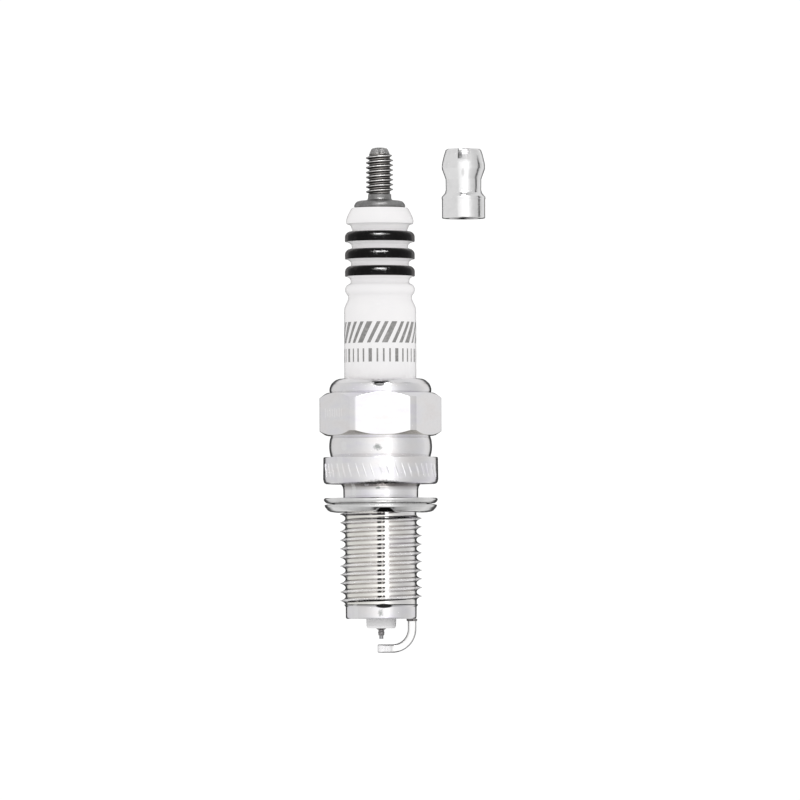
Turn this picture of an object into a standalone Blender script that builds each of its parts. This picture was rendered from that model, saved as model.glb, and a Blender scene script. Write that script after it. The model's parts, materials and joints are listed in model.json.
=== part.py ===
# Spark plug with a removable terminal nut, modelled in Blender 4.5.
# Units are metres, +Z runs up the plug's axis to the terminal.
# The origin is on the axis, in the middle of the terminal stud's top end face.
# Heights below are counted from the shell's seat face: every piece hangs on an
# empty that stands there, 48.8 mm under the origin.
# The side electrode's foot and the loose terminal nut are on the +X side.

import math

import bmesh
import bpy
from mathutils import Matrix

MM = 0.001

# ---------------------------------------------------------------- dimensions, mm
# Names in _R are radii, names in _Z are heights over the seat face.
SEG = 28  # facets round the shell and the ceramic
SEG_SLIM = 20  # facets round the stud, the centre electrode and the nut

NOSE_END_Z = -20.85  # lower end of the ceramic
BORE_R = 1.90  # wide part of the ceramic's bore
FILL_R = 1.85  # what fills that bore
BAND_BOTTOMS = (35.04, 32.52, 30.03)  # lower edge of each black rib

STUD_TOP_Z = 48.80
STUD_PITCH = 0.70  # M4 x 0.7
STUD_CREST_R = 1.95
STUD_ROOT_R = 1.47
STUD_THREAD_TOP_Z = 47.50
STUD_THREAD_END_Z = 41.90

HEX_AF = 15.74  # a 16 mm hexagon at the small end of its tolerance
HEX_TURN_DEG = 2.5  # the flat that faces -Y is turned this far to +X
HEX_BLANK_R = 8.80  # the round blank the flats are cut from

SEAT_R = 8.32
SEAT_TOP_Z = 3.86
SHELL_END_Z = -19.47

THREAD_PITCH = 1.25  # M12 x 1.25
THREAD_CREST_R = 5.93
THREAD_ROOT_R = 5.14
THREAD_TOP_Z = -3.72
THREAD_END_Z = -17.47

GASKET_TOP_Z = -2.04
GASKET_H = 2.08

TIP_END_Z = -22.37  # lower end of the iridium tip
GAP = 0.80  # spark gap

BAR_OUT_X = 5.06  # outer face of the side electrode's foot
BAR_IN_X = 3.84  # its inner face, towards the axis
BAR_HALF_WIDTH = 1.32
FOOT_Z = SHELL_END_Z - 0.02
ARM_THICK = 1.20
ARM_TOP_Z = TIP_END_Z - GAP
ARM_LOW_Z = ARM_TOP_Z - ARM_THICK
ARM_END_X = -0.53
BEND_IN_R = 2.25
BEND_OUT_R = BEND_IN_R + ARM_THICK
BEND_STEPS = 8

WELD_SIZE = (1.62, 3.10, 0.34)
WELD_X = 4.42
WELD_CLEARANCE = 0.03  # between the bar and the bead

NUT_X = 12.13
NUT_BOTTOM_Z = 38.35
# Heights in the nut, over its lower face.
NUT_THREAD_TOP = 9.35
NUT_THREAD_END = 3.05
SLOT_SIZE = (0.42, 8.0, 3.0)
SLOT_FLOOR = 8.62

# ---------------------------------------------------------------- scene
for old in list(bpy.data.objects):
    bpy.data.objects.remove(old, do_unlink=True)
for block in (bpy.data.meshes, bpy.data.curves, bpy.data.materials):
    for item in list(block):
        if not item.users:
            block.remove(item)

scene = bpy.context.scene
scene.unit_settings.system = "METRIC"
scene.unit_settings.scale_length = 1.0

PARTS = bpy.data.collections.new("spark_plug")
CUTTERS = bpy.data.collections.new("cutters")
scene.collection.children.link(PARTS)
scene.collection.children.link(CUTTERS)

# The empty on the axis in the plane of the seat face, from which all heights count.
SEAT = bpy.data.objects.new("seat_plane", None)
SEAT.empty_display_size = 0.01
SEAT.location = (0.0, 0.0, -STUD_TOP_Z * MM)
PARTS.objects.link(SEAT)


# ---------------------------------------------------------------- materials
def material(name, color, roughness, metallic):
    mat = bpy.data.materials.new(name)
    mat.use_nodes = True
    shader = mat.node_tree.nodes["Principled BSDF"]
    shader.inputs["Base Color"].default_value = (*color, 1.0)
    shader.inputs["Roughness"].default_value = roughness
    shader.inputs["Metallic"].default_value = metallic
    mat.diffuse_color = (*color, 1.0)
    return mat


def metal(name, color, roughness):
    return material(name, color, roughness, metallic=1.0)


def mineral(name, color, roughness):
    return material(name, color, roughness, metallic=0.0)


STUD_STEEL = metal("gunmetal_steel", color=(0.16, 0.16, 0.165), roughness=0.34)
NUT_PLATE = metal("nickel_plate_nut", color=(0.72, 0.71, 0.70), roughness=0.16)
CERAMIC = mineral("white_glazed_ceramic", color=(0.86, 0.86, 0.85), roughness=0.12)
GLAZE = mineral("black_glaze", color=(0.012, 0.012, 0.013), roughness=0.18)
SHELL_STEEL = metal("plated_steel", color=(0.66, 0.66, 0.67), roughness=0.22)
GASKET_STEEL = metal("gasket_steel", color=(0.60, 0.60, 0.60), roughness=0.30)
NICKEL = metal("nickel_alloy", color=(0.36, 0.35, 0.34), roughness=0.40)
SIDE_NICKEL = metal("side_electrode_nickel", color=(0.68, 0.67, 0.66), roughness=0.30)
WELD_STEEL = metal("weld_steel", color=(0.45, 0.44, 0.43), roughness=0.42)
IRIDIUM = metal("iridium", color=(0.50, 0.50, 0.51), roughness=0.25)
LASER_WELD = metal("laser_weld", color=(0.38, 0.37, 0.37), roughness=0.38)
COPPER = metal("copper", color=(0.72, 0.36, 0.22), roughness=0.30)
GLASS = mineral("conductive_glass", color=(0.20, 0.12, 0.09), roughness=0.45)
RESISTOR = mineral("resistor_compound", color=(0.06, 0.06, 0.06), roughness=0.65)
TALC = mineral("talc", color=(0.80, 0.79, 0.76), roughness=0.90)
RING_STEEL = metal("packing_ring_steel", color=(0.48, 0.48, 0.48), roughness=0.38)
WASHER_STEEL = metal("seat_washer_steel", color=(0.55, 0.55, 0.54), roughness=0.35)


# ---------------------------------------------------------------- helpers
def link(obj, collection):
    """Hangs the object on the seat empty; helpers are hidden from renders."""
    collection.objects.link(obj)
    obj.parent = SEAT
    if collection is CUTTERS:
        obj.hide_render = True
        obj.display_type = "WIRE"
    return obj


def evaluated_mesh(obj):
    bpy.context.view_layer.update()
    graph = bpy.context.evaluated_depsgraph_get()
    return bpy.data.meshes.new_from_object(obj.evaluated_get(graph))


def frozen(obj):
    """Replaces an unplaced object by its evaluated mesh, with its caps welded."""
    mesh = evaluated_mesh(obj)
    bm = bmesh.new()
    bm.from_mesh(mesh)
    bmesh.ops.remove_doubles(bm, verts=bm.verts, dist=1e-7)
    bmesh.ops.recalc_face_normals(bm, faces=bm.faces)
    bm.to_mesh(mesh)
    bm.free()
    name = obj.name
    collection = obj.users_collection[0]
    bpy.data.objects.remove(obj, do_unlink=True)
    return link(bpy.data.objects.new(name, mesh), collection)


def profile_object(name, profile, collection, closed):
    """A wire in the XZ plane through (radius, height) points in mm."""
    count = len(profile)
    edges = [(i, i + 1) for i in range(count - 1)]
    if closed:
        edges.append((count - 1, 0))
    mesh = bpy.data.meshes.new(name)
    mesh.from_pydata([(r * MM, 0.0, z * MM) for r, z in profile], edges, [])
    return link(bpy.data.objects.new(name, mesh), collection)


def add_screw(obj, segs, **settings):
    screw = obj.modifiers.new("screw", "SCREW")
    screw.axis = "Z"
    screw.angle = 2 * math.pi
    screw.steps = segs
    screw.render_steps = segs
    screw.use_smooth_shade = True
    for key, value in settings.items():
        setattr(screw, key, value)


def turned(name, profile, segs=SEG, collection=PARTS, closed=True):
    """A turned solid: the (radius, height) profile in mm is spun round Z."""
    obj = profile_object(name, profile, collection, closed)
    add_screw(
        obj, segs,
        use_merge_vertices=True, merge_threshold=1e-6, use_normal_calculate=False,
    )
    return frozen(obj)


def fade_ends(bm, section, fade_rings, core_r):
    """Draws the first and last rings of a ridge smoothly in to just under the core."""
    rings = len(bm.verts) // section
    low = (core_r - 0.06) * MM
    # Each step of the Screw leaves one copy of the section, in order.
    for index, vert in enumerate(bm.verts):
        ring = index // section
        rise = min(ring, rings - 1 - ring) / fade_rings
        r = math.hypot(vert.co.x, vert.co.y)
        if rise < 1.0 and r > low:
            new_r = low + (r - low) * math.sin(0.5 * math.pi * rise)
            vert.co.x *= new_r / r
            vert.co.y *= new_r / r


def thread_ridge(name, section, pitch, z_top, z_end, segs, fade_deg=0, core_r=0.0):
    """A right-hand helical ridge: the (radius, height) section climbs one pitch a turn.

    Its ends fade to the core over fade_deg.
    """
    turns = int(round((z_top - z_end) / pitch))
    start = z_top - turns * pitch
    obj = profile_object(name, [(r, start + z) for r, z in section], CUTTERS, closed=True)
    add_screw(obj, segs, screw_offset=pitch * MM, iterations=turns, use_merge_vertices=False)
    mesh = evaluated_mesh(obj)
    bpy.data.objects.remove(obj, do_unlink=True)
    bm = bmesh.new()
    bm.from_mesh(mesh)
    fade_rings = int(round(fade_deg / 360.0 * segs))
    if fade_rings:
        fade_ends(bm, len(section), fade_rings, core_r)
    bmesh.ops.holes_fill(bm, edges=[e for e in bm.edges if e.is_boundary], sides=0)
    bmesh.ops.recalc_face_normals(bm, faces=bm.faces)
    bm.to_mesh(mesh)
    bm.free()
    return link(bpy.data.objects.new(name, mesh), CUTTERS)


def plate(name, outlines, half_thick, collection):
    """A flat plate, centred on its XY plane; a second outline inside the first is a hole."""
    curve = bpy.data.curves.new(name, "CURVE")
    curve.dimensions = "2D"
    curve.fill_mode = "BOTH"
    curve.extrude = half_thick * MM
    for outline in outlines:
        spline = curve.splines.new("POLY")
        spline.points.add(len(outline) - 1)
        for point, (x, y) in zip(spline.points, outline):
            point.co = (x * MM, y * MM, 0.0, 1.0)
        spline.use_cyclic_u = True
    return frozen(link(bpy.data.objects.new(name, curve), collection))


def box(name, size, centre, collection):
    bpy.ops.mesh.primitive_cube_add(size=1.0)
    obj = bpy.context.object
    obj.name = name
    for current in list(obj.users_collection):
        current.objects.unlink(obj)
    obj.data.transform(Matrix.Diagonal((*(side * MM for side in size), 1.0)))
    obj.data.transform(Matrix.Translation([c * MM for c in centre]))
    return link(obj, collection)


def polygon(radius, sides, start_deg=0.0):
    angles = [math.radians(start_deg + 360 * i / sides) for i in range(sides)]
    return [(radius * math.cos(a), radius * math.sin(a)) for a in angles]


def boolean(obj, other, operation, name):
    mod = obj.modifiers.new(name, "BOOLEAN")
    mod.object = other
    mod.operation = operation
    mod.solver = "EXACT"


def finish(obj, mat):
    """Gives the piece its material and smooth shading."""
    obj.data.materials.clear()
    obj.data.materials.append(mat)
    for poly in obj.data.polygons:
        poly.use_smooth = True
        poly.material_index = 0
    return obj


def turned_piece(name, mat, profile, segs=SEG, closed=True):
    return finish(turned(name, profile, segs, closed=closed), mat)


# Every profile below lists (radius, height) in mm. An open profile starts and
# ends on the axis.

# ---------------------------------------------------------------- insulator
def rib_outline(bottom):
    """The ceramic under one band of glaze, from its upper shoulder to its lower edge."""
    return [
        (4.30, bottom + 1.36), (4.66, bottom + 1.20), (4.87, bottom + 0.98),
        (4.93, bottom + 0.72), (4.93, bottom + 0.24), (4.88, bottom),
    ]


def build_insulator():
    top_rib, middle_rib, low_rib = (rib_outline(bottom) for bottom in BAND_BOTTOMS)
    outer = [
        (4.00, 39.90), (4.22, 39.66), (4.40, 39.32), (4.58, 38.92), (4.76, 38.52),
        (4.86, 38.12), (4.82, 37.52), (4.62, 37.40), (4.26, 37.28), (4.04, 37.00),
        (3.96, 36.66),
        *top_rib,
        (4.45, 34.86), (4.12, 34.60), (4.04, 34.26),
        *middle_rib,
        (4.50, 32.34), (4.22, 32.12), (4.16, 31.78),
        *low_rib,
        (4.56, 29.86), (4.28, 29.60), (4.22, 29.26), (4.46, 28.90), (4.88, 28.62),
        (5.03, 28.10), (4.98, 27.70), (4.74, 27.42), (4.60, 27.02), (4.66, 26.60),
        (4.90, 26.10), (5.12, 25.58), (5.20, 25.20), (5.20, 10.30), (6.05, 9.60),
        (6.05, 1.36), (3.98, -0.50), (3.98, -9.46), (3.16, -10.10), (2.50, -14.60),
        (2.19, -18.90), (2.10, -20.72), (1.98, NOSE_END_Z),
    ]
    bore = [(1.14, NOSE_END_Z), (1.14, -7.62), (BORE_R, -6.98), (BORE_R, 39.90)]
    turned_piece("insulator", CERAMIC, outer + bore)


def build_glaze_bands():
    """Black sleeves over the ribs; their backs lie just off the ceramic's outline."""
    for number, bottom in enumerate(BAND_BOTTOMS, 1):
        front = [
            (4.34, bottom + 1.46), (4.72, bottom + 1.29), (4.96, bottom + 1.04),
            (5.05, bottom + 0.74), (5.05, bottom + 0.22), (4.98, bottom - 0.02),
        ]
        back = [(4.905, bottom - 0.02)]
        back += [(r + 0.025, z + 0.012) for r, z in reversed(rib_outline(bottom)[:-1])]
        turned_piece(f"glaze_band_{number}", GLAZE, front + back)


# ---------------------------------------------------------------- terminal stud
def build_stud():
    profile = [
        (0.0, STUD_TOP_Z), (1.12, STUD_TOP_Z), (1.24, 48.62), (1.42, 47.62),
        (STUD_ROOT_R, 47.30), (STUD_ROOT_R, 42.06), (1.67, 41.86), (1.67, 41.52),
        # collar over the ceramic
        (1.80, 41.24), (2.08, 41.12), (3.00, 41.12), (3.42, 40.98), (3.63, 40.72),
        (3.70, 40.38), (3.70, 39.99), (3.64, 39.94),
        # stem with a grooved end
        (FILL_R, 39.94), (FILL_R, 9.10), (1.42, 8.80), (1.42, 7.60), (1.22, 7.30),
        (1.22, 6.90), (1.42, 6.60), (1.42, 5.80), (1.22, 5.50), (1.22, 5.10),
        (1.42, 4.80), (1.24, 4.30), (0.0, 4.30),
    ]
    stud = turned_piece("terminal_stud", STUD_STEEL, profile, SEG_SLIM, closed=False)
    section = [
        (STUD_CREST_R, -0.03), (STUD_CREST_R, 0.03),
        (STUD_ROOT_R + 0.03, 0.27), (STUD_ROOT_R - 0.22, 0.27),
        (STUD_ROOT_R - 0.22, -0.27), (STUD_ROOT_R + 0.03, -0.27),
    ]
    ridge = thread_ridge(
        "stud_thread_ridge", section, STUD_PITCH, STUD_THREAD_TOP_Z, STUD_THREAD_END_Z,
        SEG_SLIM, fade_deg=150, core_r=STUD_ROOT_R,
    )
    boolean(stud, ridge, "UNION", "m4_thread")


# ---------------------------------------------------------------- seals and resistor
def build_bore_filling():
    """The two glass seals with the resistor between them."""
    upper_seal = [
        (FILL_R, 8.74), (FILL_R, 3.00), (0.0, 3.00), (0.0, 4.24), (1.47, 4.24), (1.47, 8.74),
    ]
    turned_piece("upper_glass_seal", GLASS, upper_seal, SEG_SLIM)

    resistor = [(0.0, 2.95), (FILL_R, 2.95), (FILL_R, -1.55), (0.0, -1.55)]
    turned_piece("resistor", RESISTOR, resistor, SEG_SLIM, closed=False)

    lower_seal = [
        (0.0, -1.60), (FILL_R, -1.60), (FILL_R, -6.10),
        (1.08, -6.10), (1.08, -5.10), (0.0, -5.10),
    ]
    turned_piece("lower_glass_seal", GLASS, lower_seal, SEG_SLIM)


# ---------------------------------------------------------------- centre electrode
def build_centre_electrode():
    """The nickel electrode, its copper core, and the welded iridium tip."""
    electrode = [
        (0.60, -5.16), (1.02, -5.16), (1.02, -6.16), (1.82, -6.16), (1.82, -6.92),
        (1.09, -7.54), (1.09, -20.20), (0.70, -20.84), (0.46, -21.20), (0.46, -21.66),
        (0.0, -21.66), (0.0, -19.60), (0.60, -19.60),
    ]
    turned_piece("centre_electrode", NICKEL, electrode, SEG_SLIM)

    core = [(0.0, -5.16), (0.55, -5.16), (0.55, -19.54), (0.0, -19.54)]
    turned_piece("copper_core", COPPER, core, SEG_SLIM, closed=False)

    tip_weld = [
        (0.0, -21.68), (0.44, -21.68), (0.45, -21.75), (0.40, -21.84), (0.33, -21.90),
        (0.0, -21.90),
    ]
    turned_piece("tip_weld", LASER_WELD, tip_weld, SEG_SLIM, closed=False)

    tip = [(0.0, -21.92), (0.30, -21.92), (0.30, -22.34), (0.27, TIP_END_Z), (0.0, TIP_END_Z)]
    turned_piece("iridium_tip", IRIDIUM, tip, SEG_SLIM, closed=False)


# ---------------------------------------------------------------- metal shell
def build_shell():
    profile = [
        # crimped lip
        (5.27, 14.80), (5.38, 15.04), (5.70, 15.17), (6.05, 15.17), (6.48, 15.00),
        (6.85, 14.70), (7.09, 14.45), (7.25, 14.12), (7.35, 13.75), (7.35, 13.38),
        (7.29, 13.15),
        # hexagon blank
        (7.72, 13.15), (8.02, 13.00), (HEX_BLANK_R, 12.42), (HEX_BLANK_R, 7.60),
        (8.02, 7.06), (7.70, 6.96),
        # bulged waist
        (7.18, 6.96), (7.34, 6.45), (7.43, 5.55), (7.36, 4.60), (7.20, SEAT_TOP_Z),
        # seat flange
        (SEAT_R, SEAT_TOP_Z), (SEAT_R, 0.52), (8.18, 0.16), (7.84, 0.0),
        # neck and thread core
        (5.84, 0.0), (5.66, -0.14), (5.44, -0.42), (5.38, -4.10),
        (THREAD_ROOT_R, -4.40), (THREAD_ROOT_R, -19.28), (4.96, SHELL_END_Z),
        # bore, upwards
        (3.90, SHELL_END_Z), (3.90, -13.30), (3.28, -12.60), (3.28, -10.42),
        (4.06, -9.84), (4.06, -0.62), (6.14, 1.26), (6.14, 13.90), (5.92, 14.26),
        (5.27, 14.46),
    ]
    shell = turned_piece("metal_shell", SHELL_STEEL, profile)
    section = [
        (THREAD_CREST_R, -0.06), (THREAD_CREST_R, 0.06),
        (THREAD_ROOT_R + 0.04, 0.48), (THREAD_ROOT_R - 0.30, 0.48),
        (THREAD_ROOT_R - 0.30, -0.48), (THREAD_ROOT_R + 0.04, -0.48),
    ]
    ridge = thread_ridge(
        "shell_thread_ridge", section, THREAD_PITCH, THREAD_TOP_Z, THREAD_END_Z,
        SEG, fade_deg=140, core_r=THREAD_ROOT_R,
    )
    boolean(shell, ridge, "UNION", "m12_thread")

    # A round plate with a hexagonal hole trims the blank to its flats.
    hexagon = polygon(0.5 * HEX_AF / math.cos(math.radians(30)), 6, -60 + HEX_TURN_DEG)
    rim = polygon(14.0, 12)
    cutter = plate("hex_flats_cutter", [rim, hexagon], 6.0, CUTTERS)
    cutter.location.z = 11.0 * MM
    boolean(shell, cutter, "DIFFERENCE", "hex_flats")


# ---------------------------------------------------------------- packing in the shell
def build_packing():
    talc = [(5.26, 13.30), (6.08, 13.30), (6.08, 10.24), (5.62, 10.24), (5.26, 10.60)]
    turned_piece("talc_filling", TALC, talc)

    upper_ring = [
        (5.58, 14.22), (5.82, 14.14), (6.04, 13.86), (5.98, 13.50),
        (5.72, 13.36), (5.42, 13.42), (5.28, 13.78), (5.38, 14.12),
    ]
    turned_piece("packing_ring_upper", RING_STEEL, upper_ring)

    lower_ring = [(5.74, 10.18), (6.04, 10.18), (6.08, 9.94), (6.08, 9.68), (5.98, 9.70)]
    turned_piece("packing_ring_lower", RING_STEEL, lower_ring)

    washer = [(4.02, -9.54), (4.02, -9.80), (3.32, -10.33), (3.24, -10.33), (3.24, -10.12)]
    turned_piece("seat_washer", WASHER_STEEL, washer)


# ---------------------------------------------------------------- gasket
def build_gasket():
    """Folded sheet metal: an upper leaf that turns over at the rim into a lower leaf."""
    # Heights count from the gasket's top face, where its origin is.
    profile = [
        (5.72, -0.10), (5.90, 0.0), (8.12, 0.0), (8.22, -0.10), (8.26, -0.26),
        (8.20, -0.42), (8.02, -0.62), (7.80, -0.76), (6.90, -0.84), (6.90, -0.92),
        (7.86, -0.93), (8.10, -0.98), (8.16, -1.08), (8.00, -1.38), (7.62, -1.80),
        (7.33, -1.96), (6.50, -GASKET_H), (6.26, -GASKET_H), (6.12, -1.95),
        (6.06, -1.20), (6.00, -0.62), (5.72, -0.48),
    ]
    gasket = turned_piece("gasket", GASKET_STEEL, profile)
    gasket.location.z = GASKET_TOP_Z * MM


# ---------------------------------------------------------------- side electrode
def bend(face_x, face_z, radius):
    """The (x, z) quarter arc from the foot's face at face_x to the arm's at face_z."""
    angles = [math.radians(90.0 * i / BEND_STEPS) for i in range(BEND_STEPS + 1)]
    return [
        (face_x - radius + radius * math.cos(a), face_z + radius - radius * math.sin(a))
        for a in angles
    ]


def build_side_electrode():
    """A flat bar: foot, bend and arm in one (x, z) outline, extruded along Y."""
    outline = [
        (BAR_OUT_X, FOOT_Z),
        *bend(BAR_OUT_X, ARM_LOW_Z, BEND_OUT_R),
        (ARM_END_X, ARM_LOW_Z),
        (ARM_END_X, ARM_TOP_Z),
        *reversed(bend(BAR_IN_X, ARM_TOP_Z, BEND_IN_R)),
        (BAR_IN_X, FOOT_Z),
    ]
    bar = plate("ground_electrode", [outline], BAR_HALF_WIDTH, PARTS)
    bar.rotation_euler.x = math.radians(90)
    finish(bar, SIDE_NICKEL)

    # The arm's end is cut to a taper on both flanks; (x, y) of the +Y cutter.
    taper = [(-1.2, 0.60), (-0.55, 0.74), (1.62, 1.40), (1.62, 2.4), (-1.2, 2.4)]
    for letter, sign in (("a", 1), ("b", -1)):
        shape = [(x, sign * y) for x, y in taper]
        cutter = plate(f"arm_taper_cutter_{letter}", [shape], 1.4, CUTTERS)
        cutter.location.z = 0.5 * (ARM_TOP_Z + ARM_LOW_Z) * MM
        boolean(bar, cutter, "DIFFERENCE", f"taper_{letter}")


def build_weld():
    """The upset bead round the bar's foot, a frame with the bar through it."""
    centre = (WELD_X, 0.0, FOOT_Z - 0.5 * WELD_SIZE[2])
    weld = finish(box("ground_weld", WELD_SIZE, centre, PARTS), WELD_STEEL)

    # A four-sided turned prism, turned square to the axes and stretched to the opening.
    prism = [(0.0, 1.0), (1.0, 1.0), (1.0, -1.0), (0.0, -1.0)]
    hole = turned("weld_frame_hole", prism, 4, CUTTERS, closed=False)
    half_x = 0.5 * (BAR_OUT_X - BAR_IN_X) + WELD_CLEARANCE
    half_y = BAR_HALF_WIDTH + WELD_CLEARANCE
    stretch = (half_x * math.sqrt(2), half_y * math.sqrt(2), 1.0, 1.0)
    hole.data.transform(Matrix.Rotation(math.radians(45), 4, "Z"))
    hole.data.transform(Matrix.Diagonal(stretch))
    hole.location = (0.5 * (BAR_OUT_X + BAR_IN_X) * MM, 0.0, SHELL_END_Z * MM)
    boolean(weld, hole, "DIFFERENCE", "bar_opening")


# ---------------------------------------------------------------- terminal nut
def build_nut():
    """The loose nut, with its inner thread and a slot along Y across its top."""
    # Heights count from the nut's lower face, where its origin is.
    profile = [
        (2.02, 10.00), (2.42, 10.05), (2.60, 9.88), (2.70, 9.48), (2.88, 8.90),
        (2.98, 8.32), (3.10, 7.75), (3.12, 7.20), (3.04, 6.70), (2.87, 6.30),
        (2.68, 5.84), (2.58, 5.50), (2.56, 4.00), (2.70, 3.64), (2.96, 3.34),
        (3.16, 3.12), (3.17, 2.92), (3.12, 2.78), (3.12, 0.10), (3.02, 0.0),
        (2.30, 0.0), (2.02, 0.30),
    ]
    nut = turned_piece("terminal_nut", NUT_PLATE, profile, SEG_SLIM)
    section = [
        (1.68, -0.05), (2.00, -0.24), (2.20, -0.24), (2.20, 0.24), (2.00, 0.24), (1.68, 0.05),
    ]
    ridge = thread_ridge(
        "nut_thread_ridge", section, STUD_PITCH, NUT_THREAD_TOP, NUT_THREAD_END, SEG_SLIM,
    )
    boolean(nut, ridge, "UNION", "m4_thread")

    slot_centre = (0.0, 0.0, SLOT_FLOOR + 0.5 * SLOT_SIZE[2])
    slot = box("nut_slot_cutter", SLOT_SIZE, slot_centre, CUTTERS)
    boolean(nut, slot, "DIFFERENCE", "driver_slot")

    for obj in (nut, ridge, slot):
        obj.location = (NUT_X * MM, 0.0, NUT_BOTTOM_Z * MM)


# ---------------------------------------------------------------- build
build_insulator()
build_glaze_bands()
build_stud()
build_bore_filling()
build_centre_electrode()
build_shell()
build_packing()
build_gasket()
build_side_electrode()
build_weld()
build_nut()
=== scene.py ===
# A spark plug with its folded gasket and a loose terminal nut beside it, in a pale studio.
# The plug stands on the Z axis, terminal up and electrodes down. The front is -Y, and the nut
# lies towards +X. Shapes are in millimetres, with heights counted from the shell's seat face.

import json
import math
from functools import cached_property
from itertools import cycle

import bmesh
import bpy
import numpy as np
from mathutils import Matrix, Vector


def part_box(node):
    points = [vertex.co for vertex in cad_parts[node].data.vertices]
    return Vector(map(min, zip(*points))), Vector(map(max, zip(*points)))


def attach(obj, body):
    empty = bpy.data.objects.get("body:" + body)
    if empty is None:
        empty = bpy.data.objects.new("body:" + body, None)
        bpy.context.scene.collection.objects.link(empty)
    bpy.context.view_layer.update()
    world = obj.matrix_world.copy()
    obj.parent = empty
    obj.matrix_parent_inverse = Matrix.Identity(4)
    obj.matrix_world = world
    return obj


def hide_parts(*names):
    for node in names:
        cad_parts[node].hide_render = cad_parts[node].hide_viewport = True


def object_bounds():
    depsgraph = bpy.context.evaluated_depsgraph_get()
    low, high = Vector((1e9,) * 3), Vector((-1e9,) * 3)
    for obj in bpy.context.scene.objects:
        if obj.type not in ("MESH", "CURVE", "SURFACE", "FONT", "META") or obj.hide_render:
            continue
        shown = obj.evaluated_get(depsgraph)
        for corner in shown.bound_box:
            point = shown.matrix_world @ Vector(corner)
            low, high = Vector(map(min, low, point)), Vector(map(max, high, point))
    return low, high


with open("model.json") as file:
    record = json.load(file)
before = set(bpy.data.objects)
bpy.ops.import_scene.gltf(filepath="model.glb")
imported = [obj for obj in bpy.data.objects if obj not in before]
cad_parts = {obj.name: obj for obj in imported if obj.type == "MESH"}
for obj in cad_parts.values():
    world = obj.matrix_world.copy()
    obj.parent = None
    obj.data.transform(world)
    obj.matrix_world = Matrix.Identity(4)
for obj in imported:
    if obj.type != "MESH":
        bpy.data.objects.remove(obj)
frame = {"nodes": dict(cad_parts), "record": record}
cad_lo, cad_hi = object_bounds()

MM = 0.001
TAU = 2.0 * math.pi
MOUNTS = {mount["name"]: mount for mount in frame["record"]["mounts"]}
SEAT = MOUNTS["seat_face"]["pos_m"][2]  # metres
SEAT_MM = SEAT / MM
FRONT = -90.0  # degrees round Z

# The loose nut's axis, and its foot above the seat face.
NUT_LO, NUT_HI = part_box("terminal_nut")
NUT_X = 0.5 * (NUT_LO.x + NUT_HI.x) / MM
NUT_Z = (NUT_LO.z - SEAT) / MM

# The hexagon's half width across flats, and its turn from the front in degrees.
HEX_HALF = math.hypot(*MOUNTS["hex_flat"]["pos_m"][:2]) / MM
HEX_AXIS = MOUNTS["hex_flat"]["axis"]
HEX_TURN = math.degrees(math.atan2(HEX_AXIS[0], -HEX_AXIS[1]))

PRINT_RADIUS = 5.20    # the ceramic's plain barrel
TERMINAL_PITCH = 0.70  # thread of the stud and of the nut

# Lower edges of the three black bands.
BANDS = [(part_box(f"glaze_band_{i}")[0].z - SEAT) / MM + 0.02 for i in (1, 2, 3)]


# ====================================================================== curves
def smoothstep(x):
    x = np.clip(x, 0.0, 1.0)
    return x * x * (3.0 - 2.0 * x)


def hashed(n, seed):
    """Repeatable numbers between 0 and 1."""
    v = np.sin(np.asarray(n, float) * 127.1 + seed * 311.7 + 0.5) * 43758.5453
    return v - np.floor(v)


def wobble(theta, z, seed, count, top):
    """Smooth unevenness, about -1 to 1: count waves with at most top cycles a turn."""
    out = np.zeros(np.broadcast(theta, z).shape)
    for i in range(count):
        cycles = 1 + int(hashed(i, seed) * top)
        climb = (hashed(i, seed + 1) - 0.5) * 3.2
        phase = TAU * hashed(i, seed + 2)
        out = out + math.cos(0.6 * i) * np.sin(cycles * theta + climb * z + phase)
    return out / count ** 0.5 / 1.2


def bezier(s, start, bend, end):
    return (1 - s) ** 2 * start + 2 * s * (1 - s) * bend + s * s * end


def spline_through(points, per=5):
    """A centripetal Catmull-Rom curve through (radius, height) points, per steps a span."""
    p = np.asarray(points, float)
    p = np.vstack([2 * p[0] - p[1], p, 2 * p[-1] - p[-2]])
    out = []
    for p0, p1, p2, p3 in zip(p, p[1:], p[2:], p[3:]):
        t0 = 0.0
        t1 = t0 + max(np.linalg.norm(p1 - p0), 1e-6) ** 0.5
        t2 = t1 + max(np.linalg.norm(p2 - p1), 1e-6) ** 0.5
        t3 = t2 + max(np.linalg.norm(p3 - p2), 1e-6) ** 0.5
        for s in range(per):
            t = t1 + (t2 - t1) * s / per
            a1 = (t1 - t) / (t1 - t0) * p0 + (t - t0) / (t1 - t0) * p1
            a2 = (t2 - t) / (t2 - t1) * p1 + (t - t1) / (t2 - t1) * p2
            a3 = (t3 - t) / (t3 - t2) * p2 + (t - t2) / (t3 - t2) * p3
            b1 = (t2 - t) / (t2 - t0) * a1 + (t - t0) / (t2 - t0) * a2
            b2 = (t3 - t) / (t3 - t1) * a2 + (t - t1) / (t3 - t1) * a3
            out.append((t2 - t) / (t2 - t1) * b1 + (t - t1) / (t2 - t1) * b2)
    out.append(p[-2])
    return np.array(out)


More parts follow.
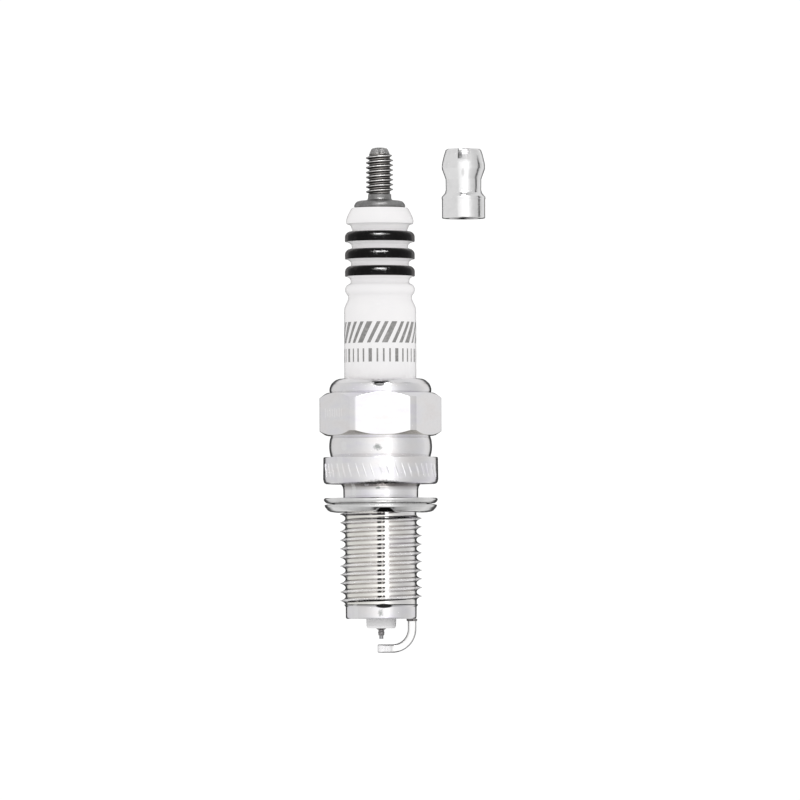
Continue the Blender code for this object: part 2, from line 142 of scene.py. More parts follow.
def filleted(points, steps=4):
    """Straight runs through (radius, height[, fillet]) points, with rounded corners."""
    corners = [np.array(p[:2], float) for p in points]
    out = [corners[0]]
    for i in range(1, len(corners) - 1):
        before, corner, after = corners[i - 1:i + 2]
        fillet = points[i][2] if len(points[i]) > 2 else 0.0
        if fillet <= 0:
            out.append(corner)
            continue
        into, away = corner - before, after - corner
        len_in, len_away = np.linalg.norm(into), np.linalg.norm(away)
        into, away = into / len_in, away / len_away
        turn = math.acos(max(-1.0, min(1.0, float(into @ away))))
        trim = min(fillet * math.tan(turn / 2), 0.48 * len_in, 0.48 * len_away)
        for k in range(steps + 1):
            out.append(bezier(k / steps, corner - into * trim, corner, corner + away * trim))
    out.append(corners[-1])
    return np.array(out)


def dense(points, step):
    """The same line with no run longer than step."""
    p = np.asarray(points, float)
    out = [p[0]]
    for a, b in zip(p[:-1], p[1:]):
        n = max(1, int(math.ceil(np.linalg.norm(b - a) / step)))
        for k in range(1, n + 1):
            out.append(a + (b - a) * k / n)
    return np.array(out)


def angles(count, extra=()):
    """Angles over a full turn, both ends included, with extra ones let in."""
    base = list(np.linspace(0.0, TAU, count + 1))
    for angle in extra:
        angle = angle % TAU
        near = min(range(1, len(base) - 1), key=lambda i: abs(base[i] - angle))
        if abs(base[near] - angle) < 0.15 * TAU / count:
            base[near] = angle
        else:
            base.append(angle)
            base.sort()
    return np.array(base)


def helix(theta, lo, hi, start, pitch, turns, per, core, depth, shape, fade,
          rough=0.0, seed=0):
    """Rows from hi down to lo of a right-hand thread, per rows a pitch.

    Its crest passes (angle 0, start). shape gives the relief from 0 in the root to 1 on the
    crest, and fade holds the turns over which the thread grows at its low and high end.
    """
    rows = []
    top = int(math.ceil((hi - start) / pitch * per)) + 1
    low = int(math.floor((lo - start) / pitch * per)) - per - 1
    for k in range(top, low - 1, -1):
        z = np.clip(start + pitch * (k / per + theta / TAU), lo, hi)
        phase = (z - start) / pitch - theta / TAU
        crest = np.round(phase)
        along = crest + theta / TAU
        relief = shape(1.0 - 2.0 * np.abs(phase - crest))
        ends = smoothstep(along / fade[0]) * smoothstep((turns - along) / fade[1])
        radius = core + depth * ends * relief
        if rough:
            angle = along * TAU
            waves = (np.sin(angle * 7.3 + seed) * 0.4 + np.sin(angle * 17.9 + 2 * seed) * 0.35
                     + np.sin(angle * 41.0) * 0.25)
            radius = radius + rough * relief * ends * waves
        rows.append((radius, z))
    return rows


# ====================================================================== meshes
def shade(mesh, sharp):
    """Smooth faces, split at edges sharper than the angle in degrees."""
    mesh.polygons.foreach_set("use_smooth", [True] * len(mesh.polygons))
    mesh.set_sharp_from_angle(angle=math.radians(sharp))


def link_new(name, data):
    obj = bpy.data.objects.new(name, data)
    bpy.context.scene.collection.objects.link(obj)
    return obj


def mesh_object(name, points, faces, sharp):
    """An object from points and quads, equal points merged and empty faces dropped."""
    points = np.asarray(points, float).reshape(-1, 3)
    key = np.floor(points / 1e-4 + 0.37).astype(np.int64)
    _, index, inverse = np.unique(key, axis=0, return_index=True, return_inverse=True)
    verts = points[index] * MM
    verts[:, 2] += SEAT
    kept = []
    for quad in inverse.reshape(-1)[np.asarray(faces)].tolist():
        face = [v for i, v in enumerate(quad) if v != quad[i - 1]]
        if len(set(face)) == len(face) and len(face) > 2:
            kept.append(face)
    mesh = bpy.data.meshes.new(name)
    mesh.from_pydata(verts.tolist(), [], kept)
    mesh.update()
    bm = bmesh.new()
    bm.from_mesh(mesh)
    if bm.calc_volume(signed=True) < 0:
        bmesh.ops.reverse_faces(bm, faces=bm.faces)
    bm.to_mesh(mesh)
    bm.free()
    shade(mesh, sharp)
    mesh.update()
    return link_new(name, mesh)


def turned(name, rows, theta, sharp, loop=True, centre_x=0.0):
    """A surface from (radius, height) rows, each a number or one value per angle.

    With loop, the last row joins the first.
    """
    cos, sin = np.cos(theta), np.sin(theta)
    points = np.array([
        np.stack(np.broadcast_arrays(centre_x + r * cos, r * sin, z), -1) for r, z in rows])
    count, cols = len(rows), len(theta)
    row, col = np.meshgrid(
        np.arange(count if loop else count - 1), np.arange(cols - 1), indexing="ij")
    a = row * cols + col
    b = (row + 1) % count * cols + col
    quads = np.stack([a, b, b + 1, a + 1], -1).reshape(-1, 4)
    return mesh_object(name, points, quads, sharp)


def raised_bars(name, bars, place, thick):
    """Thin closed marks laid on a surface by place(across, height, lift).

    A bar is (across, low, width, tall, slant, cells across, cells up).
    """
    points, faces = [], []
    for across, low, width, tall, slant, wide_cells, tall_cells in bars:
        base = len(points)
        for outer in (True, False):
            for i in range(wide_cells + 1):
                for j in range(tall_cells + 1):
                    u, v = i / wide_cells, j / tall_cells
                    edge = i in (0, wide_cells) or j in (0, tall_cells)
                    lift = (thick * (0.55 if edge else 1.0)) if outer else -0.03
                    shift = u * width + (v - 0.5) * tall * slant
                    points.append(place(across + shift, low + v * tall, lift))
        n = tall_cells + 1
        back = (wide_cells + 1) * n

        def wall(a, b, flip):
            quad = (a, a + back, b + back, b)
            faces.append(quad[::-1] if flip else quad)

        for i in range(wide_cells):
            for j in range(tall_cells):
                a = base + i * n + j
                faces.append((a, a + n, a + n + 1, a + 1))
                faces.append((a + back, a + back + 1, a + back + n + 1, a + back + n))
        for i in range(wide_cells):
            for j in (0, tall_cells):
                a = base + i * n + j
                wall(a, a + n, flip=j > 0)
        for j in range(tall_cells):
            for i in (0, wide_cells):
                a = base + i * n + j
                wall(a, a + 1, flip=i == 0)
    return mesh_object(name, points, faces, sharp=30)


def block(name, size, turn=0.0, centre=(0.0, 0.0, 0.0)):
    """A box of size in mm, its mesh turned in degrees round Z and moved in metres."""
    mesh = bpy.data.meshes.new(name)
    bm = bmesh.new()
    bmesh.ops.create_cube(bm, size=1.0)
    bmesh.ops.scale(bm, vec=Vector(size) * MM, verts=bm.verts)
    rotation = Matrix.Rotation(math.radians(turn), 3, "Z")
    bmesh.ops.rotate(bm, cent=Vector(), matrix=rotation, verts=bm.verts)
    bmesh.ops.translate(bm, vec=Vector(centre), verts=bm.verts)
    bm.to_mesh(mesh)
    bm.free()
    return link_new(name, mesh)


def put_on(obj, material, body, slot, *nodes):
    """Give the piece its finish, the body it rides and the CAD nodes it replaces. The slot argument
    is not used.
    """
    obj.data.materials.clear()
    obj.data.materials.append(material)
    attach(obj, body)
    if nodes:
        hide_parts(*nodes)
    return obj


# ====================================================================== node graphs
class Value:
    """A node's output. Arithmetic and comparison on it add Math nodes."""

    def __init__(self, graph, socket):
        self.graph = graph
        self.socket = socket

    def __add__(self, other):
        return self.graph.math("ADD", self, other)

    def __sub__(self, other):
        return self.graph.math("SUBTRACT", self, other)

    def __rsub__(self, other):
        return self.graph.math("SUBTRACT", other, self)

    def __mul__(self, other):
        return self.graph.math("MULTIPLY", self, other)

    def __truediv__(self, other):
        return self.graph.math("DIVIDE", self, other)

    def __lt__(self, other):
        return self.graph.math("LESS_THAN", self, other)

    def __gt__(self, other):
        return self.graph.math("GREATER_THAN", self, other)

    def __abs__(self):
        return self.graph.math("ABSOLUTE", self)


class Graph:
    """The node tree of a material or world, emptied and ready to fill."""

    def __init__(self, owner):
        owner.use_nodes = True
        self.tree = owner.node_tree
        self.tree.nodes.clear()

    def new(self, kind, **props):
        node = self.tree.nodes.new(kind)
        for key, value in props.items():
            setattr(node, key, value)
        return node

    def output(self, node, socket=0):
        return Value(self, node.outputs[socket])

    def put(self, value, socket):
        """Link a Value, or set a number or colour. A number in a colour socket is a grey."""
        if isinstance(value, Value):
            self.tree.links.new(value.socket, socket)
        elif socket.type == "RGBA":
            rgb = value if isinstance(value, tuple) else (value,) * 3
            socket.default_value = (*rgb, 1.0)
        else:
            socket.default_value = value

    def math(self, op, a, b=0.0):
        node = self.new("ShaderNodeMath", operation=op)
        self.put(a, node.inputs[0])
        self.put(b, node.inputs[1])
        return self.output(node)

    def remap(self, value, span, to=(0.0, 1.0), curve="LINEAR"):
        """span mapped on to, and held at its ends."""
        node = self.new("ShaderNodeMapRange", interpolation_type=curve)
        for socket, item in zip(node.inputs, (value, *span, *to)):
            self.put(item, socket)
        return self.output(node)

    def ramp(self, factor, stops):
        """A linear ramp through (position, grey or colour) stops."""
        node = self.new("ShaderNodeValToRGB")
        node.color_ramp.interpolation = "LINEAR"
        items = node.color_ramp.elements
        while len(items) > 1:
            items.remove(items[-1])
        for i, (position, value) in enumerate(stops):
            item = items[0] if i == 0 else items.new(position)
            item.position = position
            rgb = value if isinstance(value, tuple) else (value,) * 3
            item.color = (*rgb, 1.0)
        self.put(factor, node.inputs[0])
        return self.output(node)

    def mix(self, factor, a, b, blend="MIX"):
        node = self.new("ShaderNodeMix", data_type="RGBA", blend_type=blend)
        self.put(factor, node.inputs[0])
        self.put(a, node.inputs[6])
        self.put(b, node.inputs[7])
        return self.output(node, 2)

    def times(self, a, b):
        return self.mix(1.0, a, b, "MULTIPLY")

    def split(self, vector):
        node = self.new("ShaderNodeSeparateXYZ")
        self.put(vector, node.inputs[0])
        return [self.output(node, i) for i in range(3)]


class Look(Graph):
    """A Principled material with the helpers the finishes share. Positions are in mm."""

    def __init__(self, name, rgb, metallic, roughness):
        self.mat = bpy.data.materials.new(name)
        super().__init__(self.mat)
        out = self.new("ShaderNodeOutputMaterial")
        self.bsdf = self.new("ShaderNodeBsdfPrincipled")
        self.put(self.output(self.bsdf), out.inputs["Surface"])
        self.put(metallic, self.bsdf.inputs["Metallic"])
        self.put(roughness, self.bsdf.inputs["Roughness"])
        self.put(rgb, self.bsdf.inputs["Base Color"])
        self.mat.diffuse_color = (*rgb, 1.0)
        scale = self.new("ShaderNodeVectorMath", operation="SCALE")
        self.put(self.output(self.new("ShaderNodeTexCoord"), "Object"), scale.inputs[0])
        self.put(1000.0, scale.inputs["Scale"])
        self.mm = self.output(scale)
        self.normal = None

    @cached_property
    def xyz(self):
        return self.split(self.mm)

    x = property(lambda self: self.xyz[0])
    y = property(lambda self: self.xyz[1])
    z = property(lambda self: self.xyz[2])

    @cached_property
    def height(self):
        """Height above the seat face."""
        return self.z - SEAT_MM

    @cached_property
    def front(self):
        """1 on the front half."""
        return self.y < 0.0

    def length(self, u, v):
        return self.math("SQRT", u * u + v * v)

    def radius(self, centre_x=0.0):
        return self.length(self.x - centre_x, self.y)

    def ellipse(self, x, z, half_x, half_z, level=None):
        """Distance from (x, z) seen from the front, 1 on the ellipse's outline."""
        level = level or self.height
        return self.length((self.x - x) / half_x, (level - z) / half_z)

    def noise(self, scale, detail=3.0, rough=0.55, stretch=None):
        vector = self.mm
        if stretch:
            node = self.new("ShaderNodeVectorMath", operation="MULTIPLY")
            self.put(self.mm, node.inputs[0])
            self.put(stretch, node.inputs[1])
            vector = self.output(node)
        node = self.new("ShaderNodeTexNoise")
        self.put(vector, node.inputs["Vector"])
        self.put(scale, node.inputs["Scale"])
        self.put(detail, node.inputs["Detail"])
        self.put(rough, node.inputs["Roughness"])
        return self.output(node, "Fac")

    def facing(self):
        """0 where the surface faces the viewer, 1 at its outline."""
        node = self.new("ShaderNodeLayerWeight")
        self.put(0.5, node.inputs["Blend"])
        return self.output(node, "Facing")

    def worn_edges(self, low, high):
        """0 on smooth faces, 1 on worn convex edges, between two values of pointiness."""
        geometry = self.new("ShaderNodeNewGeometry")
        return self.remap(self.output(geometry, "Pointiness"), (low, high))

    def bump(self, height, depth_mm):
        node = self.new("ShaderNodeBump")
        self.put(1.0, node.inputs["Strength"])
        self.put(depth_mm * MM, node.inputs["Distance"])
        self.put(height, node.inputs["Height"])
        if self.normal:
            self.put(self.normal, node.inputs["Normal"])
        self.normal = self.output(node)

    def done(self, color, roughness, **others):
        inputs = {"Base_Color": color, "Roughness": roughness, **others}
        inputs["Normal"] = self.normal
        for key, value in inputs.items():
            self.put(value, self.bsdf.inputs[key.replace("_", " ")])
        return self.mat


# ====================================================================== finishes
# Noise is read over the span its values mostly fill.
MIDDLE = (0.3, 0.7)
FADE_OUT = (1.0, 0.0)


def thread_tint(look, tint, radius):
    """Colour of the shell's thread with its painted shade, highlight and reflection, and how far its
    outline loses its metal shine.
    """
    height, x = look.height, look.x
    in_thread = (height < -3.85) * (height > -17.36)
    front_thread = look.front * in_thread
    across = look.remap(radius, (5.0, 6.0))
    # Cream passivation in the roots, fading to the right.
    root = look.ramp(across, [(0.0, 1.0), (0.22, 1.0), (0.30, 0.0), (1.0, 0.0)])
    side = look.remap(x, (-5.0, 5.0), to=(1.0, 0.35))
    tint = look.mix(root * in_thread * side, tint, (0.90, 0.885, 0.83))
    # Painted shade: a narrow dark line part way up each flank, where the next crest hides the
    # reflected light.
    flank = look.ramp(
        across, [(0.0, 0.0), (0.27, 0.0), (0.32, 1.0), (0.44, 0.9), (0.50, 0.0), (1.0, 0.0)])
    flank_shade_noise = look.remap(look.noise(scale=1.0, stretch=(0.7, 0.7, 1.6)), MIDDLE, to=(0.55, 0.95))
    tint = look.mix(flank * in_thread * flank_shade_noise, tint, (0.32, 0.29, 0.27))
    # Pale crests, and a painted highlight: a paler column just right of the middle.
    crest = look.remap(radius, (5.50, 5.64)) * in_thread
    tint = look.mix(crest * 0.85, tint, (0.93, 0.92, 0.925))
    highlight_column = look.remap(x, (0.50, 0.66)) * look.remap(x, (1.12, 1.30), to=FADE_OUT)
    tint = look.mix(highlight_column * front_thread * 0.9, tint, (0.99, 0.985, 0.99))
    # Painted reflection: a dark column down the middle of each turn, where the dark camera side is
    # mirrored, broken in a narrow line.
    middle = look.remap(abs(x - 0.05), (0.50, 0.64), to=FADE_OUT)
    dark_reflection_column = middle * (look.ramp(
        across, [(0.0, 0.0), (0.24, 0.0), (0.28, 1.0), (0.55, 1.0), (0.60, 0.0), (1.0, 0.0)]
    ) * front_thread)
    thinner = look.remap(abs(x - 0.18), (0.06, 0.12), to=(0.12, 1.0))
    dark_reflection_column = dark_reflection_column * (thinner * look.remap(x, (0.20, 0.28), to=(1.0, 0.86)))
    tint = look.mix(dark_reflection_column * 0.97, tint, 0.006)
    # Painted shade: the roots darken where they turn out of sight at the outline.
    facing = look.facing()
    hidden = look.remap(facing, (0.60, 0.78)) * (in_thread * (radius < 5.48))
    tint = look.mix(hidden * 0.85, tint, (0.05, 0.048, 0.05))
    dulled = look.remap(facing, (0.55, 0.75), to=(0.0, 0.9)) * (
        in_thread * look.remap(radius, (5.48, 5.62)))
    return tint, dulled


def shell_shade_and_marks(look, tint, radius):
    """The shell's painted reflections, painted shade, dark thread start and shadow gap, laid over
    its tint.
    """
    height, x, front = look.height, look.x, look.front
    speck = look.noise(scale=3.2, detail=4.0, rough=0.6)
    # Painted reflections: black ellipses under the thread and on the crimp, where dark gaps in the
    # studio are mirrored: place, half sizes, fade, strength.
    for x_mid, z_mid, half_x, half_z, fade, strength in (
            (0.42, -17.60, 1.25, 0.34, (0.80, 1.05), 0.98),
            (-0.10, 14.31, 0.92, 0.33, (0.75, 1.1), 0.96)):
        distance = look.ellipse(x_mid, z_mid, half_x, half_z)
        tint = look.mix(look.remap(distance, fade, to=(strength, 0.0)) * front, tint, 0.01)
    # The relief neck is darker brown just under the flange.
    neck_dark_band = look.remap(height, (-1.0, -0.25), to=(0.0, 0.85)) * (
        (radius < 6.2) * (height < 0.05))
    tint = look.mix(neck_dark_band, tint, (0.25, 0.23, 0.215))
    # Painted shade: a dark band along the seat flange's lower edge.
    ragged = look.ellipse(0.25, 0.08, 2.6, 0.42) + look.remap(speck, MIDDLE, to=(-0.25, 0.25))
    underside_shade = look.remap(ragged, (0.55, 1.1), to=(0.88, 0.0)) * (front * (radius > 7.6))
    tint = look.mix(underside_shade, tint, (0.06, 0.058, 0.055))
    # A dark start to the thread in two steps, broken in between.
    first = look.remap(abs(height + 4.42), (0.10, 0.18), to=(0.92, 0.0)) * look.remap(
        x, (0.55, 0.8), to=FADE_OUT)
    second = look.remap(abs(height + 4.82), (0.04, 0.12), to=(0.85, 0.0)) * (
        look.remap(x, (1.1, 1.4)) * look.remap(x, (3.8, 4.4), to=FADE_OUT))
    start = look.math("MAXIMUM", first, second) * (front * (radius < 6.0))
    tint = look.mix(start, tint, (0.05, 0.045, 0.055))
    # Painted shade: the hexagon's downward-facing lower chamfer is darker brown-grey.
    normal = look.output(look.new("ShaderNodeNewGeometry"), "Normal")
    chamfer = (look.split(normal)[2] < -0.30) * (radius > 7.71) * (
        (height > 6.90) * (height < 8.2))
    tint = look.mix(chamfer * 0.70, tint, (0.40, 0.38, 0.325))
    # Painted reflections: dark spots on the front of the groove, the neck and the nose: place, half
    # sizes, strength.
    for x_mid, z_mid, half_x, half_z, strength in (
            (-0.42, 5.20, 0.62, 0.46, 0.80),
            (-0.38, -0.62, 0.36, 0.24, 0.80),
            (-0.05, -18.60, 0.34, 0.52, 0.72)):
        ragged = look.ellipse(x_mid, z_mid, half_x, half_z) + look.remap(
            speck, MIDDLE, to=(-0.35, 0.35))
        dark_reflection_spot = look.remap(ragged, (0.45, 1.15), to=(strength, 0.0)) * front
        tint = look.mix(dark_reflection_spot, tint, (0.24, 0.26, 0.25))
    # The shadow gap under the last turn of the thread.
    gap = (height < -17.365) * (height > -17.53) * (radius > 5.135)
    return look.mix(gap * 0.96, tint, 0.02)


def plated_steel():
    """Bright zinc plating: a faint cream, rose and lavender bloom, turning lines, worn edges."""
    look = Look("plated_steel_finish", (0.80, 0.80, 0.81), metallic=1.0, roughness=0.2)
    radius = look.radius()
    bloom = look.noise(scale=0.55, detail=2.0, rough=0.5, stretch=(0.35, 0.35, 1.1))
    tint = look.ramp(bloom, [
        (0.30, (0.805, 0.785, 0.84)), (0.46, (0.825, 0.818, 0.835)),
        (0.58, (0.84, 0.825, 0.83)), (0.72, (0.825, 0.80, 0.80))])
    tint, dulled = thread_tint(look, tint, radius)
    tint = shell_shade_and_marks(look, tint, radius)
    stains = look.ramp(look.noise(scale=1.6, detail=5.0, rough=0.62),
                       [(0.0, 0.93), (0.42, 0.985), (0.62, 1.0), (1.0, 1.02)])
    tint = look.times(tint, stains)
    edge = look.worn_edges(0.515, 0.60)
    tint = look.mix(edge * 0.45, tint, 0.90)
    lines = look.noise(scale=1.0, detail=4.0, rough=0.6, stretch=(0.25, 0.25, 9.0))
    fine = look.noise(scale=1.0, detail=2.0, rough=0.5, stretch=(0.5, 0.5, 26.0))
    peel = look.noise(scale=1.9, rough=0.5)
    rough = look.remap(lines, MIDDLE, to=(0.08, 0.13)) + (
        look.noise(scale=5.0, detail=4.0, rough=0.6) * 0.05)
    rough = rough + edge * 0.06
    look.bump(peel, depth_mm=0.006)
    look.bump(lines, depth_mm=0.0012)
    look.bump(fine, depth_mm=0.0004)
    return look.done(tint, rough, Metallic=1.0 - dulled)


def gunmetal():
    """Dark steel of the stud: browned patches, scratches, and painted highlights and shade on the
    thread.
    """
    look = Look("gunmetal_finish", (0.22, 0.22, 0.225), metallic=1.0, roughness=0.34)
    color = look.ramp(look.noise(scale=1.5, detail=5.0, rough=0.6), [
        (0.25, (0.165, 0.160, 0.155)), (0.5, (0.235, 0.233, 0.232)),
        (0.75, (0.29, 0.285, 0.285))])
    grain = look.noise(scale=9.0, detail=6.0, rough=0.7)
    color = look.times(color, look.ramp(grain, [(0.2, 0.72), (0.5, 1.0), (0.85, 1.22)]))
    # On the thread: brown roots, painted shade on the black flanks and towards the outline, and
    # painted highlights on the bright crests.
    radius, height = look.radius(), look.height
    thread = (height > 42.0) * (height < 47.75)
    thread_light_and_shade = look.ramp(look.remap(radius, (1.4, 2.0)), [
        (0.0, (0.42, 0.40, 0.38)), (0.22, (0.34, 0.32, 0.305)),
        (0.27, (0.03, 0.028, 0.028)), (0.66, (0.04, 0.038, 0.038)),
        (0.78, (1.0, 0.985, 0.97)), (1.0, (1.0, 0.985, 0.97))])
    thread_light_and_shade = look.times(thread_light_and_shade, look.remap(look.facing(), (0.03, 0.42), to=(1.0, 0.30)))
    thread_light_and_shade = look.times(thread_light_and_shade, look.ramp(grain, [(0.25, 0.6), (0.5, 1.0), (0.8, 1.3)]))
    color = look.mix(thread * 0.94, color, thread_light_and_shade)
    # The tip above the thread is paler and duller.
    tip = height > 47.75
    tip_color = look.ramp(grain, [(0.25, 0.24), (0.7, (0.46, 0.455, 0.45))])
    color = look.mix(tip * 0.7, color, tip_color)
    color = look.mix(look.worn_edges(0.52, 0.62) * 0.5, color, (0.50, 0.49, 0.49))
    lines = look.noise(scale=1.0, detail=4.0, rough=0.65, stretch=(0.5, 0.5, 14.0))
    rough = look.remap(grain, (0.25, 0.75), to=(0.24, 0.38)) + lines * 0.05
    rough = look.mix(tip, rough, 0.62)
    look.bump(grain, depth_mm=0.012)
    look.bump(lines, depth_mm=0.004)
    return look.done(color, rough)


def white_glaze():
    """Glazed alumina with orange peel and fine specks, matte where the nose is bare."""
    look = Look("white_ceramic_finish", (0.78, 0.77, 0.775), metallic=0.0, roughness=0.10)
    color = look.ramp(look.noise(scale=0.35, rough=0.5),
                      [(0.3, (0.770, 0.760, 0.766)), (0.7, (0.792, 0.780, 0.782))])
    cells = look.new("ShaderNodeTexVoronoi", feature="F1")
    look.put(look.mm, cells.inputs["Vector"])
    look.put(1.4, cells.inputs["Scale"])
    specks = look.output(cells, "Distance") < 0.035
    color = look.mix(specks * 0.14, color, (0.62, 0.60, 0.57))
    bare = look.height < 0.0
    color = look.mix(bare * 0.9, color, (0.76, 0.755, 0.76))
    grain = look.noise(scale=14.0, detail=4.0, rough=0.6)
    peel = look.noise(scale=1.1, detail=2.0, rough=0.45)
    rough = look.remap(look.noise(scale=2.2), MIDDLE, to=(0.08, 0.14))
    rough = look.mix(bare, rough, 0.55)
    look.bump(peel, depth_mm=0.012)
    look.bump(grain * bare, depth_mm=0.012)
    # Shine, a little stronger towards the outline.
    shine = look.remap(look.facing(), (0.25, 0.80), to=(0.02, 0.08))
    return look.done(color, rough, Specular_IOR_Level=shine)


def black_glaze():
    """Glossy black glaze of the ribs, with ripples that break the highlight."""
    look = Look("black_glaze_finish", (0.014, 0.014, 0.015), metallic=0.0, roughness=0.12)
    cloud = look.noise(scale=1.8, detail=4.0, rough=0.6)
    color = look.ramp(cloud, [
        (0.3, 0.003), (0.6, (0.005, 0.0045, 0.0045)), (0.8, (0.012, 0.010, 0.010))])
    color = look.mix(look.worn_edges(0.52, 0.62) * 0.12, color, (0.05, 0.046, 0.046))
    # Painted reflection: greyer towards the outline, in patches, as a grazing sheen.
    outline = look.remap(look.facing(), (0.55, 0.80), to=(0.0, 0.85))
    rim_reflection = outline * look.remap(cloud, (0.35, 0.6), to=(0.5, 1.0))
    color = look.mix(rim_reflection, color, (0.16, 0.15, 0.15))
    look.bump(look.noise(scale=2.3, stretch=(1.0, 1.0, 2.2)), depth_mm=0.045)
    look.bump(look.noise(scale=11.0, detail=2.0, rough=0.5), depth_mm=0.003)
    rough = look.remap(cloud, MIDDLE, to=(0.09, 0.18))
    return look.done(color, rough, Specular_IOR_Level=0.075)


def nickel_plate():
    """Bright nickel of the loose nut, with turning rings, handling scratches, painted shade in the
    bore and painted reflections on its front.
    """
    look = Look("nickel_plate_finish", (0.84, 0.835, 0.83), metallic=1.0, roughness=0.15)
    foot = SEAT_MM + NUT_Z
    color = look.ramp(look.noise(scale=0.9), [
        (0.3, (0.80, 0.797, 0.80)), (0.55, (0.85, 0.846, 0.848)),
        (0.8, (0.835, 0.832, 0.835))])
    lines = look.noise(scale=1.0, detail=4.0, rough=0.6, stretch=(0.4, 0.4, 8.0))
    scratch = look.noise(scale=2.2, detail=5.0, rough=0.7, stretch=(3.0, 3.0, 0.35))
    color = look.mix(look.worn_edges(0.515, 0.60) * 0.5, color, 0.92)
    rough = look.remap(lines, MIDDLE, to=(0.15, 0.22)) + look.remap(
        scratch, (0.45, 0.8), to=(0.0, 0.08))
    # Painted shade: the bore darkens inside its thread.
    bore_shade = look.remap(look.radius(NUT_X), (2.34, 2.40), to=FADE_OUT)
    color = look.mix(bore_shade * 0.5, color, 0.34)
    # Painted reflection: a darker patch on the front of the waist's cone, facing the camera.
    distance = look.ellipse(NUT_X - 0.10, foot + 6.55, 0.26, 0.62, level=look.z)
    front_dark_reflection = look.remap(distance, (0.5, 1.2), to=(0.40, 0.0)) * look.front
    color = look.mix(front_dark_reflection, color, 0.40)
    # Painted reflection: the crown's front middle, on the side facing the camera, is darker.
    crown_reflection = look.remap(look.z - foot, (7.9, 8.6), to=(0.0, 0.9))
    middle = look.remap(abs(look.x - (NUT_X + 0.05)), (0.50, 1.00), to=FADE_OUT)
    color = look.mix(crown_reflection * (middle * look.front), color, (0.47, 0.465, 0.47))
    look.bump(look.noise(scale=1.7), depth_mm=0.012)
    look.bump(lines, depth_mm=0.003)
    return look.done(color, rough)


def gasket_steel():
    """Pressed sheet steel with drawing lines round the rim, rubbed high spots and a painted dark
    reflection on the lower leaf.
    """
    look = Look("gasket_finish", (0.78, 0.78, 0.78), metallic=1.0, roughness=0.22)
    cloud = look.noise(scale=0.8, detail=4.0)
    color = look.ramp(cloud, [(0.3, (0.74, 0.735, 0.73)), (0.6, 0.80), (0.8, (0.77, 0.76, 0.77))])
    color = look.mix(look.worn_edges(0.515, 0.60) * 0.6, color, 0.90)
    # Painted reflection: a black patch on the front of the lower leaf, wider towards its lower edge,
    # where the dark camera side is mirrored.
    half_width = look.remap(look.height, (-4.05, -3.40), to=(1.72, 0.85))
    across = abs(look.x - 0.66) / half_width
    patch_ragged = look.remap(look.noise(scale=3.0, detail=4.0, rough=0.6), MIDDLE, to=(-0.12, 0.12))
    dark_reflection_patch = look.remap(across + patch_ragged, (0.70, 1.10), to=FADE_OUT) * (
        look.front * look.remap(look.height, (-3.50, -3.36), to=FADE_OUT))
    color = look.mix(dark_reflection_patch, color, 0.003)
    lines = look.noise(scale=1.0, detail=4.0, rough=0.6, stretch=(0.3, 0.3, 12.0))
    rough = look.remap(lines, MIDDLE, to=(0.09, 0.14)) + cloud * 0.04
    look.bump(look.noise(scale=1.4), depth_mm=0.008)
    look.bump(lines, depth_mm=0.002)
    return look.done(color, rough, Metallic=1.0 - dark_reflection_patch, Specular_IOR_Level=0.0)


def side_nickel():
    """Nickel alloy of the side electrode, with painted shade darkening its outline."""
    look = Look("side_electrode_finish", (0.86, 0.85, 0.85), metallic=1.0, roughness=0.30)
    color = look.ramp(look.noise(scale=1.2, detail=4.0),
                      [(0.3, (0.80, 0.795, 0.79)), (0.6, (0.88, 0.875, 0.87))])
    lines = look.noise(scale=1.0, detail=4.0, rough=0.6, stretch=(1.0, 16.0, 1.0))
    # The cut end is pale and finely pitted.
    cut = look.remap(look.x, (1.05, 1.75), to=FADE_OUT)
    pits = look.ramp(look.noise(scale=7.0, rough=0.6),
                     [(0.0, 0.66), (0.40, 0.74), (0.50, 1.0), (1.0, 1.0)])
    color = look.mix(cut, color, look.times((1.0, 0.99, 1.0), pits))
    # Painted shade: darker towards the outline, less so on the cut end.
    rim = look.remap(look.facing(), (0.16, 0.50), to=(0.0, 0.95)) * look.remap(
        cut, (0.0, 1.0), to=(1.0, 0.62))
    color = look.mix(rim, color, (0.14, 0.135, 0.14))
    look.bump(lines, depth_mm=0.004)
    look.bump(look.noise(scale=2.5), depth_mm=0.010)
    return look.done(color, look.remap(lines, MIDDLE, to=(0.16, 0.24)))


def ink():
    """Grey printed marking with uneven cover."""
    look = Look("marking_ink", (0.22, 0.22, 0.22), metallic=0.0, roughness=0.3)
    cover = look.noise(scale=2.4, detail=4.0, rough=0.6)
    color = look.ramp(cover, [(0.25, 0.17), (0.55, (0.22, 0.215, 0.21)), (0.85, (0.36, 0.35, 0.35))])
    look.bump(look.noise(scale=9.0, detail=2.0), depth_mm=0.004)
    rough = look.remap(cover, MIDDLE, to=(0.22, 0.34))
    return look.done(color, rough, Coat_Weight=0.5, Coat_Roughness=0.08)


